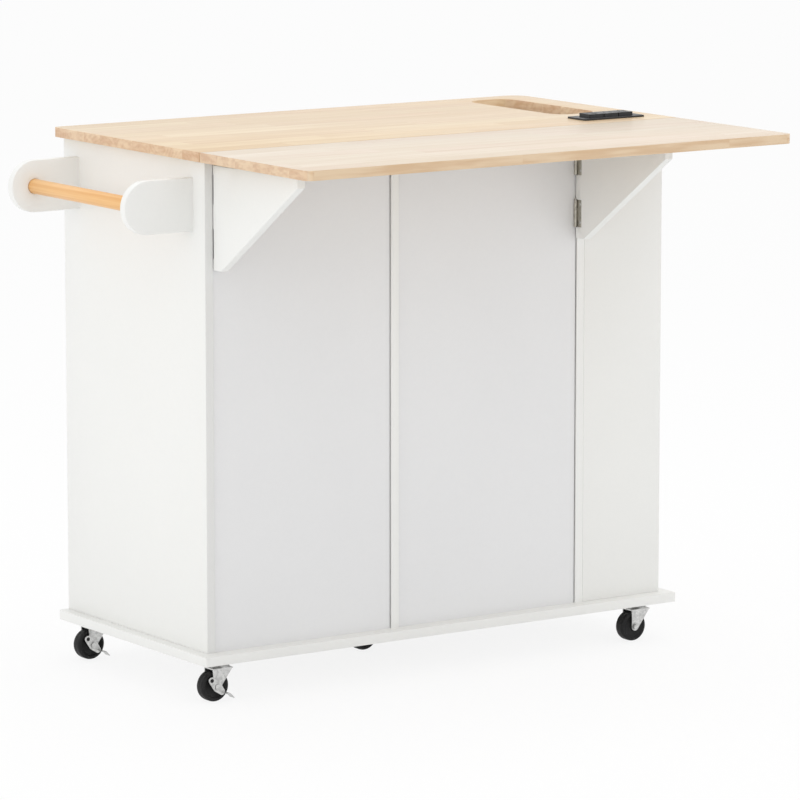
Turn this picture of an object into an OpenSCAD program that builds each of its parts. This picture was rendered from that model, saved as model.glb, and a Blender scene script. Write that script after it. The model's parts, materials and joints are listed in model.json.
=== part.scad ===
// Drop leaf kitchen island on five casters: three bays side by side under a two-piece worktop.
// Working frame of the modules: x = 0 at the open bay's end face, y = 0 at the door face,
// z = 0 on the floor. place() moves it so that the origin is at the middle of the footprint.

/* [Carcass] */
// Clear width of the cupboard bay at the towel rail end
rail_bay_w = 350; // [320:1:420]
// Clear width of the middle cupboard bay
mid_bay_w = 368; // [320:1:460]
// Clear width of the open bay under the waste slot
bin_bay_w = 165; // [155:1:240]
// Depth of the carcass from the door face to the leaf side
carcass_d = 450; // [430:1:520]
// Height of the upright boards
carcass_h = 815; // [740:1:900]
// Thickness of the white boards
board = 15; // [14:0.5:18]
// Thickness of the back panels
back_t = 5; // [3:0.5:8]
// Setback of the back panels from the edges of the boards
back_set = 4; // [3:0.5:6]
// Depth of the grooves that hold the back panels
groove = 5; // [3:0.5:5]
// Clearance of the back panels in their grooves
groove_fit = 0.1; // [0.05:0.05:0.3]

/* [Base] */
// Thickness of the base board
base_t = 16; // [12:0.5:25]
// How far the base reaches past the carcass at each end
base_over_end = 19; // [0:1:40]
// How far the base reaches past the carcass on the leaf side
base_over_leaf = 25; // [0:1:45]

/* [Worktop] */
// Thickness of the worktop and of the drop leaf
top_t = 16; // [14:0.5:30]
// How far the worktop reaches past the carcass at each end
top_over_end = 19; // [0:1:40]
// How far the worktop reaches past the door face
top_over_door = 4; // [0:1:30]
// How far the worktop reaches past the carcass on the leaf side
top_over_leaf = 14; // [12:1:30]
// Depth of the drop leaf
leaf_d = 318; // [290:1:380]
// Gap between the worktop and the drop leaf
leaf_seam = 2; // [1.8:0.1:4]
// Radius of the worktop's corner beside the waste slot
slot_corner_r = 32; // [5:1:60]
// Radius of the other corners of the worktop and the leaf
top_corner_r = 12; // [1:0.5:20]

/* [Waste slot] */
// Width of the waste slot
slot_w = 90; // [60:1:130]
// Length of the waste slot
slot_l = 281; // [180:1:290]
// Distance from the door face to the waste slot
slot_in = 39; // [30:1:60]
// Corner radius of the waste slot
slot_r = 32; // [5:1:44]

/* [Power strip] */
// Length of the power strip's rim
strip_l = 128; // [120:1:145]
// Width of the power strip's rim
strip_w = 54; // [50:1:70]
// Thickness of the rim
strip_rim_t = 3; // [2:0.5:5]
// Length of the row of socket blocks
strip_block_l = 92; // [80:1:108]
// Width of the socket blocks
strip_block_w = 31; // [26:1:40]
// Height of the socket blocks over the rim
strip_block_h = 6; // [3:0.5:12]
// Distance from the middle of the power strip to the leaf side of the carcass
strip_in = 52; // [48:1:75]
// Depth of the housing under the worktop's surface
strip_depth = 52; // [40:1:70]
// Clearance of the housing in the worktop
strip_fit = 0.5; // [0.3:0.1:2]
// Wall of the housing around the socket blocks
strip_wall = 2.5; // [1.5:0.1:3]
// Clearance of the socket blocks in the housing
socket_fit = 0.3; // [0.1:0.1:0.5]

/* [Support brackets] */
// Reach of a support bracket
bracket_l = 250; // [200:1:275]
// Height of a support bracket at the carcass
bracket_h = 180; // [170:1:260]
// Height of a support bracket at its tip
bracket_tip = 22; // [12:1:40]
// Width of a support bracket at its foot
bracket_foot = 22; // [18:1:40]
// Gap between an open support bracket and the carcass
bracket_gap = 0.5; // [0.3:0.1:1.5]
// Gap between the support brackets and the leaf over them
bracket_under = 0.3; // [0.1:0.1:1]
// Distance from the worktop to a bracket's upper hinge
bracket_hinge_top = 25; // [15:1:40]
// Distance between the tops of a bracket's two hinges
bracket_hinge_pitch = 89; // [60:1:95]
// Height of a bracket's butt hinges
bracket_hinge_h = 46; // [30:1:50]
// Gap between the far bracket's knuckles and its divider
bay_knuckle_gap = 0.5; // [0.3:0.1:2]

/* [Hinges] */
// Outer radius of the hinge knuckles
knuckle_r = 3; // [2.5:0.1:3.5]
// Radius of the hinge pins
pin_r = 1.4; // [1:0.1:1.8]
// Radial clearance of the pins in the knuckles
pin_fit = 0.05; // [0.02:0.01:0.1]
// Thickness of the hinge plates
plate_t = 1.5; // [1:0.1:2]
// Width of the bracket and door hinge plates from the pin
plate_w = 15.5; // [13:0.5:18]
// Gap between a knuckle and what its plate is fixed to
knuckle_gap = 0.3; // [0.2:0.05:0.6]
// End gap between neighbouring knuckles
knuckle_end = 0.4; // [0.3:0.1:0.8]
// Length of the drop leaf hinges
leaf_hinge_l = 50; // [36:1:54]
// Distance from each end of the worktop to the middle of a leaf hinge
leaf_hinge_in = 84; // [79:1:88]

/* [Doors and drawers] */
// Gap around the doors and the drawer fronts
front_gap = 2; // [1.5:0.5:4]
// Height of the drawer fronts
drawer_h = 140; // [125:1:200]
// Length of the door hinges
door_hinge_l = 50; // [36:1:70]
// Distance from a door's ends to its hinges
door_hinge_in = 60; // [30:1:110]
// Diameter of the knobs
knob_d = 30; // [20:1:40]
// Reach of the knobs
knob_l = 24; // [18:1:32]
// Distance from a door's free edge to its knob
knob_in = 38; // [25:1:60]
// Thickness of the drawer sides and backs
side_t = 12; // [9:0.5:15]
// Height of the drawer sides
side_h = 100; // [60:1:105]
// Room between the drawers and the back panels
drawer_room = 31; // [20:1:60]
// Thickness of the drawer bottoms
bottom_t = 3; // [2.5:0.5:5]
// Room for a runner on each side of a drawer
runner_gap = 12.7; // [12.5:0.1:14]
// Height of the runner channels
channel_h = 36; // [30:1:45]
// Wall of the runner channels
channel_t = 1.2; // [1:0.1:1.5]
// How far the runners stop short of the drawer sides' ends
runner_short = 3; // [0:0.5:30]

/* [Shelves] */
// Height of the shelves over the base
shelf_z = 310; // [250:1:380]
// Side gap of the shelves
shelf_gap = 1; // [0.5:0.5:3]
// Diameter of the shelf pins
shelf_pin_d = 5; // [4:0.5:6]
// Distance between the rows of pin holes
pin_pitch = 32; // [25:1:50]

/* [Towel rail] */
// How far the towel rail's arms reach from the end panel
arm_l = 130; // [100:1:170]
// Height of the arms
arm_h = 88; // [60:1:120]
// Distance from the worktop down to the arms
arm_drop = 31; // [20:1:60]
// Distance from the carcass faces to the arms
arm_in = 36; // [10:1:70]
// Diameter of the wooden rail
rail_d = 25; // [16:1:35]
// How deep the rail sits in each arm
rail_seat = 8; // [5:0.5:10]
// Radial clearance of the rail in the arms
rail_fit = 0.1; // [0.05:0.05:0.3]

/* [Casters] */
// Height from the floor to the underside of the base
caster_h = 67; // [65:0.5:75]
// Wheel radius
wheel_r = 26; // [22:0.5:27]
// Wheel width
wheel_w = 21; // [16:0.5:24]
// Distance from the swivel axis to the wheel axle
trail = 17; // [12:0.5:20]
// Distance from the base's ends to the swivel axes
caster_in_end = 53; // [50:1:90]
// Distance from the base's long sides to the swivel axes
caster_in_side = 38; // [34:1:80]
// Side of the square mounting plates
mount_plate = 46; // [42:1:56]
// Radius of the axles
axle_r = 3; // [2.5:0.25:4]
// Radial clearance of the wheels and brake levers on their axles
axle_fit = 0.1; // [0.05:0.01:0.1]
// Thickness of the fork metal
fork_t = 2; // [1.5:0.25:2.5]

/* [Hidden] */

$fn = 64;
cut = 1; // overrun of cutting shapes past a surface

// heights
base_z = caster_h + base_t;
under_z = base_z + carcass_h;
top_z = under_z + top_t;

// board positions along x, from the open bay to the towel rail
bay_div_x = bin_bay_w;
mid_x = bay_div_x + board;
inner_x = mid_x + mid_bay_w;
rail_x = inner_x + board;
end_x = rail_x + rail_bay_w;
carcass_w = end_x + board;
back_y = carcass_d - back_set - back_t;

// worktop and leaf
leaf_y = carcass_d + top_over_leaf + leaf_seam;
top_x0 = -top_over_end;
top_l = carcass_w + 2 * top_over_end;
knuckle_seat = knuckle_r + knuckle_gap;
leaf_pin = [carcass_d + top_over_leaf + leaf_seam / 2, under_z - knuckle_seat];
plate_end_gap = 1; // from a leaf hinge plate to the carcass
leaf_plate_w = top_over_leaf + leaf_seam / 2 - plate_end_gap;
leaf_hinge_x = [top_x0 + leaf_hinge_in, top_x0 + top_l / 2, top_x0 + top_l - leaf_hinge_in];

slot_x = (bin_bay_w - slot_w) / 2;
strip_y = carcass_d - strip_in;
housing_l = strip_block_l + 2 * (socket_fit + strip_wall);
housing_w = strip_block_w + 2 * (socket_fit + strip_wall);

// support brackets: the pins stand over the back panels, beside each bracket
wall_gap = 0.5; // between the rail end bracket and the end panel
panel_pin_y = carcass_d - back_set + knuckle_seat;
rail_pin = [end_x - wall_gap - board, panel_pin_y];
bay_pin = [mid_x + knuckle_r + bay_knuckle_gap, max(panel_pin_y, carcass_d - plate_t / 2)];
bracket_hinge_z = [for (i = [0, 1]) under_z - bracket_hinge_top - i * bracket_hinge_pitch - bracket_hinge_h];
mortise_fit = 0.2;
pin_head = 0.8; // how far the hinge pins stand out of their knuckles
batten_w = 40;
batten_over = 4; // from a hinge plate's end to the end of the batten behind it
relief_d = 2 * knuckle_r + knuckle_gap + 1.7;
relief_l = norm([rail_pin[0] - (leaf_hinge_x[2] - leaf_hinge_l / 2),
    leaf_pin[0] + leaf_plate_w - rail_pin[1]]) + 3;

// doors and drawers
hinge_space = 2 * plate_t + 0.4; // between a door and the board that carries it
rail_t = board;
drawer_z = under_z - front_gap - drawer_h;
rail_z = drawer_z - front_gap - rail_t;
door_z = base_z + front_gap;
door_h = rail_z - front_gap - door_z;
door_pin_y = -knuckle_seat;
rail_door_pin = end_x - hinge_space / 2;
mid_door_pin = mid_x + hinge_space / 2;
rail_door_w = rail_bay_w - hinge_space - front_gap;
mid_door_w = mid_bay_w - hinge_space - front_gap;
knob_z = door_z + door_h - 60;
door_hinge_z = [door_z + door_hinge_in, door_z + door_h - door_hinge_in - door_hinge_l];
box_z = drawer_z + 9;
runner_z = box_z + side_h / 2;
runner_y = board + front_gap;
side_l = back_y - drawer_room - board;
runner_l = board + side_l - runner_short - runner_y;
bottom_up = 8; // from the underside of a drawer side to its bottom
bottom_groove = 5;
stretcher_w = 60;
channel_d = 10;
lip = 4;
pin_hole = 5.5;
shelf_top_z = base_z + shelf_z;

// towel rail
arm_z = under_z - arm_drop - arm_h / 2;
rail_axis_x = carcass_w + arm_l - arm_h / 2;
arm_y = [arm_in, carcass_d - arm_in - board];

// casters: four at the corners and one in the middle
caster_x = [-base_over_end + caster_in_end, carcass_w + base_over_end - caster_in_end];
caster_y = [caster_in_side, carcass_d + base_over_leaf - caster_in_side];
CASTERS = [[caster_x[1], caster_y[1]], [caster_x[1], caster_y[0]], [caster_x[0], caster_y[1]],
    [caster_x[0], caster_y[0]], [(caster_x[0] + caster_x[1]) / 2, (caster_y[0] + caster_y[1]) / 2]];
mount_t = 2;
race_r = 15;
race_h = 4;
race_gap = 0.3;
king_r = 4;
king_fit = 0.1;
fork_w = wheel_w + 2 * (fork_t + 1.5);
crown_z = caster_h - mount_t - race_h - race_gap;
crown_boss = 4.5;
lever_t = 1.5;
lever_y = fork_w / 2 + 0.4;

// footprint, for the origin
foot_x = [min(-top_over_end, -base_over_end), carcass_w + arm_l];
foot_y = [-knob_l, leaf_y + leaf_d];

WHITE = "#f1f1ec";
GREYWHITE = "#dcdcdb";
OAK = "#ecd3ad";
PINE = "#f0c184";
METAL = "#c9c9c6";
BLACK = "#2c2c2e";

module place() {
    translate([-(foot_x[0] + foot_x[1]) / 2, -(foot_y[0] + foot_y[1]) / 2, 0]) children();
}

// a box from its low corner
module block(at, size) {
    translate(at) cube(size);
}

// what a fillet of radius r takes off the corner at the origin, for a shape in the first quadrant
module corner_waste(r) {
    difference() {
        translate([-cut, -cut]) square(r + cut);
        translate([r, r]) circle(r);
    }
}

// a w x d outline with radii for its corners: low, right, far, left
module outline(w, d, radii) {
    difference() {
        square([w, d]);
        corner_waste(radii[0]);
        translate([w, 0]) rotate(90) corner_waste(radii[1]);
        translate([w, d]) rotate(180) corner_waste(radii[2]);
        translate([0, d]) rotate(270) corner_waste(radii[3]);
    }
}

// ---- butt hinges ----
// The pin lies along z from 0 to len. The plate reaches along +x, its far face at y = seat.
// Of three knuckles the fixed plate carries the outer two and the moving plate the middle one.
function knuckle_span(len, moving) = moving
    ? [[len / 3 + knuckle_end / 2, 2 * len / 3 - knuckle_end / 2]]
    : [[0, len / 3 - knuckle_end / 2], [2 * len / 3 + knuckle_end / 2, len]];

module hinge_plate(len, width, seat, moving) {
    difference() {
        union() {
            block([0, seat - plate_t, 0], [width, plate_t, len]);
            for (s = knuckle_span(len, moving))
                translate([0, 0, s[0]]) cylinder(r = knuckle_r, h = s[1] - s[0]);
        }
        for (s = knuckle_span(len, !moving)) {
            low = s[0] > 0 ? s[0] - knuckle_end : -cut;
            high = s[1] < len ? s[1] + knuckle_end : len + cut;
            block([-knuckle_r - cut, -knuckle_r - cut, low],
                [knuckle_r + cut + knuckle_seat + knuckle_end, knuckle_r + seat + 2 * cut, high - low]);
        }
        translate([0, 0, -cut]) cylinder(r = pin_r + pin_fit, h = len + 2 * cut);
        for (z = [len / 6, 5 * len / 6]) translate([(knuckle_r + width) / 2 + 1, seat + cut, z])
            rotate([90, 0, 0]) cylinder(d = 3.2, h = plate_t + 2 * cut);
    }
}

// a pin with a small head at each end
module hinge_pin(len) {
    head_gap = 0.1;
    translate([0, 0, -pin_head]) {
        cylinder(r = pin_r, h = len + 2 * pin_head);
        cylinder(r = knuckle_r - 0.6, h = pin_head - head_gap);
        translate([0, 0, len + pin_head + head_gap]) cylinder(r = knuckle_r - 0.6, h = pin_head - head_gap);
    }
}

// ---- carcass ----
module base_board() {
    color(WHITE) place() translate([-base_over_end, 0, caster_h])
        linear_extrude(base_t) outline(carcass_w + 2 * base_over_end, carcass_d + base_over_leaf, [3, 3, 3, 3]);
}

// holes for shelf pins on the faces that look along dir from x = face
module pin_holes(face, dir) {
    for (y = shelf_pin_y(), k = [-1:1])
        translate([face, y, shelf_top_z - board - shelf_pin_d / 2 + k * pin_pitch])
            rotate([0, 90 * dir, 0]) translate([0, 0, -pin_hole - cut])
                cylinder(d = shelf_pin_d + 0.1, h = pin_hole + 2 * cut);
}
function shelf_pin_y() = [60, carcass_d - 70];

// a groove for a back panel on the face at x = face, cut along -dir
module back_groove(face, dir) {
    depth = groove + groove_fit;
    block([dir > 0 ? face - depth : face - cut, back_y - groove_fit, base_z - cut],
        [depth + cut, back_t + 2 * groove_fit, carcass_h + 2 * cut]);
}

module upright(x, faces) {
    color(WHITE) place() difference() {
        block([x, 0, base_z], [board, carcass_d, carcass_h]);
        for (dir = faces) {
            face = dir > 0 ? x + board : x;
            back_groove(face, dir);
            pin_holes(face, dir);
        }
    }
}

module rail_end_panel() {
    upright(end_x, [-1]);
}

module inner_divider() {
    upright(inner_x, [-1, 1]);
}

module bay_divider() {
    upright(bay_div_x, [1]);
}

module back_panels() {
    color(GREYWHITE) place() for (b = [[mid_x, mid_bay_w], [rail_x, rail_bay_w]])
        block([b[0] - groove, back_y, base_z], [b[1] + 2 * groove, back_t, carcass_h]);
}

// the open bay is closed on its two long sides and open at its end
module bay_back_board() {
    color(WHITE) place() block([0, carcass_d - board, base_z], [bin_bay_w, board, carcass_h]);
}

module bay_front_board() {
    color(WHITE) place() block([0, 0, base_z], [bin_bay_w, board, carcass_h]);
}

// flat boards that tie the uprights and carry the worktop
module top_stretchers() {
    color(WHITE) place() for (b = [[mid_x, mid_bay_w], [rail_x, rail_bay_w]])
        for (y = [board + front_gap, back_y - stretcher_w])
            block([b[0], y, under_z - board], [b[1], stretcher_w, board]);
}

// rails between the drawers and the doors
module front_rails() {
    color(WHITE) place() for (b = [[mid_x, mid_bay_w], [rail_x, rail_bay_w]])
        block([b[0], 0, rail_z], [b[1], stretcher_w, rail_t]);
}

// battens behind the back panel take the screws of the rail end bracket's hinges
module hinge_battens() {
    color(WHITE) place() for (z = bracket_hinge_z) {
        top = min(z + bracket_hinge_h + batten_over, under_z - board);
        block([end_x - batten_w, back_y - board, z - batten_over], [batten_w, board, top - z + batten_over]);
    }
}

// ---- worktop ----

module main_top() {
    color(OAK) place() difference() {
        translate([top_x0, -top_over_door, under_z]) linear_extrude(top_t)
            outline(top_l, carcass_d + top_over_door + top_over_leaf, [slot_corner_r, top_corner_r, 1, 1]);
        translate([slot_x, slot_in, under_z - cut]) linear_extrude(top_t + 2 * cut)
            outline(slot_w, slot_l, [slot_r, slot_r, slot_r, slot_r]);
        translate([(bin_bay_w - housing_l) / 2 - strip_fit, strip_y - housing_w / 2 - strip_fit, under_z - cut])
            cube([housing_l + 2 * strip_fit, housing_w + 2 * strip_fit, top_t + 2 * cut]);
    }
}

module drop_leaf() {
    color(OAK) place() translate([top_x0, leaf_y, under_z]) linear_extrude(top_t)
        outline(top_l, leaf_d, [1, 1, top_corner_r, top_corner_r]);
}

// rim and housing in one piece, with pockets for the socket blocks and an inlet below
module power_strip_housing() {
    pocket = top_t + 6;
    color(BLACK) place() translate([bin_bay_w / 2, strip_y, top_z]) difference() {
        union() {
            translate([-strip_l / 2, -strip_w / 2, 0]) linear_extrude(strip_rim_t)
                outline(strip_l, strip_w, [5, 5, 5, 5]);
            block([-housing_l / 2, -housing_w / 2, -strip_depth], [housing_l, housing_w, strip_depth]);
        }
        block([-strip_block_l / 2 - socket_fit, -strip_block_w / 2 - socket_fit, -pocket],
            [strip_block_l + 2 * socket_fit, strip_block_w + 2 * socket_fit, pocket + strip_rim_t + cut]);
        // the supply inlet, on the end that faces the open side of the bay
        translate([-housing_l / 2 - cut, -12, -strip_depth + 6]) cube([12 + cut, 24, 16]);
    }
}

// three socket blocks in a row: two with outlets and one with charging ports
module power_sockets() {
    gap = 0.6;
    one = (strip_block_l - 2 * gap) / 3;
    low = -(top_t + 6);
    color(BLACK) place() translate([bin_bay_w / 2, strip_y, top_z]) for (i = [0:2]) difference() {
        translate([-strip_block_l / 2 + i * (one + gap), -strip_block_w / 2, low])
            linear_extrude(strip_rim_t + strip_block_h - low) outline(one, strip_block_w, [1.5, 1.5, 1.5, 1.5]);
        translate([-strip_block_l / 2 + i * (one + gap) + one / 2, 0, strip_rim_t + strip_block_h]) {
            if (i < 2) {
                for (x = [-6.5, 6.5]) block([x - 1, -1, -8], [2, 9, 8 + cut]);
                translate([0, -8, -8]) cylinder(d = 5, h = 8 + cut);
            } else {
                for (y = [-9, 3.5]) difference() {
                    block([-6.5, y, -8], [13, 5.5, 8 + cut]);
                    block([-5, y + 3, -8], [10, 1.8, 7.5]);
                }
            }
        }
    }
}

// ---- drop leaf hinges ----
// plates lie flat under the worktop and the leaf, with their pins along x
module leaf_hinge_fixed() {
    color(METAL) place() for (x = leaf_hinge_x) translate([x - leaf_hinge_l / 2, leaf_pin[0], leaf_pin[1]])
        rotate([90, 0, 0]) rotate([0, 90, 0]) mirror([1, 0, 0])
            hinge_plate(leaf_hinge_l, leaf_plate_w, knuckle_seat, false);
}

module leaf_hinge_moving() {
    color(METAL) place() for (x = leaf_hinge_x) translate([x - leaf_hinge_l / 2, leaf_pin[0], leaf_pin[1]])
        rotate([90, 0, 0]) rotate([0, 90, 0]) hinge_plate(leaf_hinge_l, plate_w, knuckle_seat, true);
}

// ---- support brackets ----
// A bracket stands on the +x side of its pin and reaches out along +y; fold = -1 mirrors it.
module bracket(pin, fold) {
    edge = carcass_d + bracket_gap - pin[1];
    tip = edge + bracket_l;
    head_room = pin_head + mortise_fit;
    color(WHITE) place() translate([pin[0], pin[1], 0]) scale_x(fold) difference() {
        translate([0, 0, under_z]) rotate([90, 0, 90]) linear_extrude(board) polygon([
            [edge, -relief_d], [relief_l, -relief_d], [relief_l, -bracket_under], [tip, -bracket_under],
            [tip, -bracket_tip], [edge + bracket_foot, -bracket_h], [edge, -bracket_h]]);
        for (z = bracket_hinge_z) {
            // the moving plate's mortise
            block([-cut, edge - cut, z - mortise_fit],
                [knuckle_seat + cut, plate_w + mortise_fit - edge + cut, bracket_hinge_h + 2 * mortise_fit]);
            // room for the pin's heads
            block([-cut, edge - cut, z - head_room],
                [knuckle_seat + cut, knuckle_seat - edge + cut, bracket_hinge_h + 2 * head_room]);
            // a notch across the end clears a plate on the board behind it
            block([-cut, edge - cut, z - head_room],
                [board + 2 * cut, plate_t + cut, bracket_hinge_h + 2 * head_room]);
        }
    }
}

module scale_x(side) {
    if (side > 0) children();
    else mirror([1, 0, 0]) children();
}

module rail_bracket() {
    bracket(rail_pin, 1);
}

module bay_bracket() {
    bracket(bay_pin, -1);
}

// the plate in the bracket's mortise: it reaches out along +y with its back at x = seat
module bracket_plates(pin, fold) {
    color(METAL) place() for (z = bracket_hinge_z) translate([pin[0], pin[1], z])
        scale_x(fold) mirror([1, 0, 0]) rotate(90) hinge_plate(bracket_hinge_h, plate_w, knuckle_seat, true);
}

module rail_bracket_hinge() {
    bracket_plates(rail_pin, 1);
}

module bay_bracket_hinge() {
    bracket_plates(bay_pin, -1);
}

// two plates on the rail bay's back panel and two on the bay divider's edge, behind the bracket's end
module bracket_hinge_fixed() {
    color(METAL) place() for (b = [[rail_pin, carcass_d - back_set], [bay_pin, carcass_d]], z = bracket_hinge_z)
        translate([b[0][0], b[0][1], z]) rotate(180)
            hinge_plate(bracket_hinge_h, plate_w, b[0][1] - b[1], false);
}

// ---- doors and drawers ----

module rail_door() {
    color(WHITE) place() block([rail_x + front_gap, 0, door_z], [rail_door_w, board, door_h]);
}

module mid_door() {
    color(WHITE) place() block([mid_x + hinge_space, 0, door_z], [mid_door_w, board, door_h]);
}

// a door hinge's plate reaches back along +y; side = 1 puts its back at +x of the pin
module door_plates(pin_x, side, moving) {
    for (z = door_hinge_z) translate([pin_x, door_pin_y, z]) scale_x(side) mirror([1, 0, 0]) rotate(90)
        hinge_plate(door_hinge_l, plate_w, hinge_space / 2, moving);
}

module door_hinge_fixed() {
    color(METAL) place() {
        door_plates(rail_door_pin, 1, false);
        door_plates(mid_door_pin, -1, false);
    }
}

module rail_door_hinge() {
    color(METAL) place() door_plates(rail_door_pin, -1, true);
}

module mid_door_hinge() {
    color(METAL) place() door_plates(mid_door_pin, 1, true);
}

module hinge_pins() {
    color(METAL) place() {
        for (x = leaf_hinge_x) translate([x - leaf_hinge_l / 2, leaf_pin[0], leaf_pin[1]])
            rotate([0, 90, 0]) hinge_pin(leaf_hinge_l);
        for (pin = [rail_pin, bay_pin], z = bracket_hinge_z)
            translate([pin[0], pin[1], z]) hinge_pin(bracket_hinge_h);
        for (x = [rail_door_pin, mid_door_pin], z = door_hinge_z)
            translate([x, door_pin_y, z]) hinge_pin(door_hinge_l);
    }
}

// a turned knob whose foot is on the door face at y = 0
module knob(x, z) {
    neck = knob_d * 0.22;
    color(METAL) place() translate([x, 0, z]) rotate([90, 0, 0]) rotate_extrude() polygon([
        [0, 0], [knob_d * 0.3, 0], [knob_d * 0.3, 1.5], [neck, 3.5], [neck, knob_l * 0.5],
        [knob_d * 0.42, knob_l * 0.68], [knob_d / 2, knob_l * 0.8], [knob_d / 2, knob_l * 0.88],
        [knob_d * 0.42, knob_l * 0.96], [knob_d * 0.3, knob_l], [0, knob_l]]);
}

module rail_door_knob() {
    knob(rail_x + front_gap + knob_in, knob_z);
}

module mid_door_knob() {
    knob(mid_x + hinge_space + mid_door_w - knob_in, knob_z);
}

module rail_drawer_knob() {
    knob(rail_x + rail_bay_w / 2, drawer_z + drawer_h / 2);
}

module mid_drawer_knob() {
    knob(mid_x + mid_bay_w / 2, drawer_z + drawer_h / 2);
}

module drawer_front(x, w) {
    color(WHITE) place() block([x + front_gap, 0, drawer_z], [w - 2 * front_gap, board, drawer_h]);
}

// two grooved sides and a back that stands on the bottom panel
module drawer_box(x, w) {
    back_z = box_z + bottom_up + bottom_t;
    color(WHITE) place() difference() {
        union() {
            for (sx = [x + runner_gap, x + w - runner_gap - side_t])
                block([sx, board, box_z], [side_t, side_l, side_h]);
            block([x + runner_gap, board + side_l - side_t, back_z],
                [w - 2 * runner_gap, side_t, box_z + side_h - back_z]);
        }
        for (sx = [x + runner_gap + side_t - bottom_groove - 0.1, x + w - runner_gap - side_t - cut])
            block([sx, board - cut, box_z + bottom_up - 0.1],
                [bottom_groove + 0.1 + cut, side_l + 2 * cut, bottom_t + 0.1]);
    }
}

module drawer_bottom(x, w) {
    inset = runner_gap + side_t - bottom_groove;
    color(GREYWHITE) place() block([x + inset, board, box_z + bottom_up], [w - 2 * inset, side_l, bottom_t]);
}

module rail_drawer_front() {
    drawer_front(rail_x, rail_bay_w);
}

module mid_drawer_front() {
    drawer_front(mid_x, mid_bay_w);
}

module rail_drawer_box() {
    drawer_box(rail_x, rail_bay_w);
}

module mid_drawer_box() {
    drawer_box(mid_x, mid_bay_w);
}

module rail_drawer_bottom() {
    drawer_bottom(rail_x, rail_bay_w);
}

module mid_drawer_bottom() {
    drawer_bottom(mid_x, mid_bay_w);
}

// a C channel fixed to the board at x = 0, open towards +x; its lips hold the slide
module channel_section() {
    difference() {
        translate([0, -channel_h / 2]) square([channel_d, channel_h]);
        translate([channel_t, -channel_h / 2 + channel_t])
            square([channel_d - 2 * channel_t, channel_h - 2 * channel_t]);
        translate([channel_t, -channel_h / 2 + channel_t + lip])
            square([channel_d, channel_h - 2 * (channel_t + lip)]);
    }
}

// the hat section on the drawer's side, with its brims behind the lips
module slide_section() {
    play = 0.5;
    brim = channel_h / 2 - channel_t - play;
    crown = brim + play - lip - play;
    x0 = channel_d - channel_t - play - channel_t;
    for (s = [-1, 1]) scale([1, s]) {
        translate([x0, crown - channel_t]) square([channel_t, brim - crown + channel_t]);
        translate([x0, crown - channel_t]) square([runner_gap - x0, channel_t]);
    }
    translate([runner_gap - channel_t, -crown]) square([channel_t, 2 * crown]);
}

module along_runner(x, side) {
    translate([x, runner_y + runner_l, runner_z]) rotate([90, 0, 0]) linear_extrude(runner_l)
        scale([side, 1]) children();
}

module runner_channels() {
    color(METAL) place() for (b = [[mid_x, mid_bay_w], [rail_x, rail_bay_w]]) {
        along_runner(b[0], 1) channel_section();
        along_runner(b[0] + b[1], -1) channel_section();
    }
}

module drawer_slides(x, w) {
    color(METAL) place() {
        along_runner(x, 1) slide_section();
        along_runner(x + w, -1) slide_section();
    }
}

module rail_drawer_slides() {
    drawer_slides(rail_x, rail_bay_w);
}

module mid_drawer_slides() {
    drawer_slides(mid_x, mid_bay_w);
}

module shelves() {
    front = board + 5;
    color(WHITE) place() for (b = [[mid_x, mid_bay_w], [rail_x, rail_bay_w]])
        block([b[0] + shelf_gap, front, shelf_top_z - board],
            [b[1] - 2 * shelf_gap, back_y - 1 - front, board]);
}

// a round stub in the board and a flat tongue under the shelf
module shelf_pin() {
    tongue = 8;
    rotate([0, 90, 0]) translate([0, 0, -pin_hole + 0.5]) cylinder(d = shelf_pin_d, h = pin_hole - 0.5 + 0.6);
    translate([0.3, -5, shelf_pin_d / 2 - 2]) cube([tongue, 10, 2]);
    translate([0.3, -1, -shelf_pin_d / 2]) cube([tongue / 2, 2, shelf_pin_d - 1]);
}

module shelf_pins() {
    z = shelf_top_z - board - shelf_pin_d / 2;
    color(METAL) place() for (b = [[mid_x, mid_bay_w], [rail_x, rail_bay_w]], y = shelf_pin_y()) {
        translate([b[0], y, z]) shelf_pin();
        translate([b[0] + b[1], y, z]) mirror([1, 0, 0]) shelf_pin();
    }
}

// ---- towel rail ----

module towel_arms() {
    color(WHITE) place() for (i = [0, 1]) difference() {
        translate([carcass_w, arm_y[i] + board, arm_z]) rotate([90, 0, 0]) linear_extrude(board) union() {
            translate([0, -arm_h / 2]) square([arm_l - arm_h / 2, arm_h]);
            translate([arm_l - arm_h / 2, 0]) circle(arm_h / 2, $fn = 128);
        }
        translate([rail_axis_x, i == 0 ? arm_y[0] + board - rail_seat : arm_y[1] - cut, arm_z])
            rotate([-90, 0, 0]) cylinder(r = rail_d / 2 + rail_fit, h = rail_seat + cut);
    }
}

module towel_rail() {
    color(PINE) place() translate([rail_axis_x, arm_y[0] + board - rail_seat, arm_z])
        rotate([-90, 0, 0]) cylinder(d = rail_d, h = arm_y[1] - arm_y[0] - board + 2 * rail_seat);
}

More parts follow.
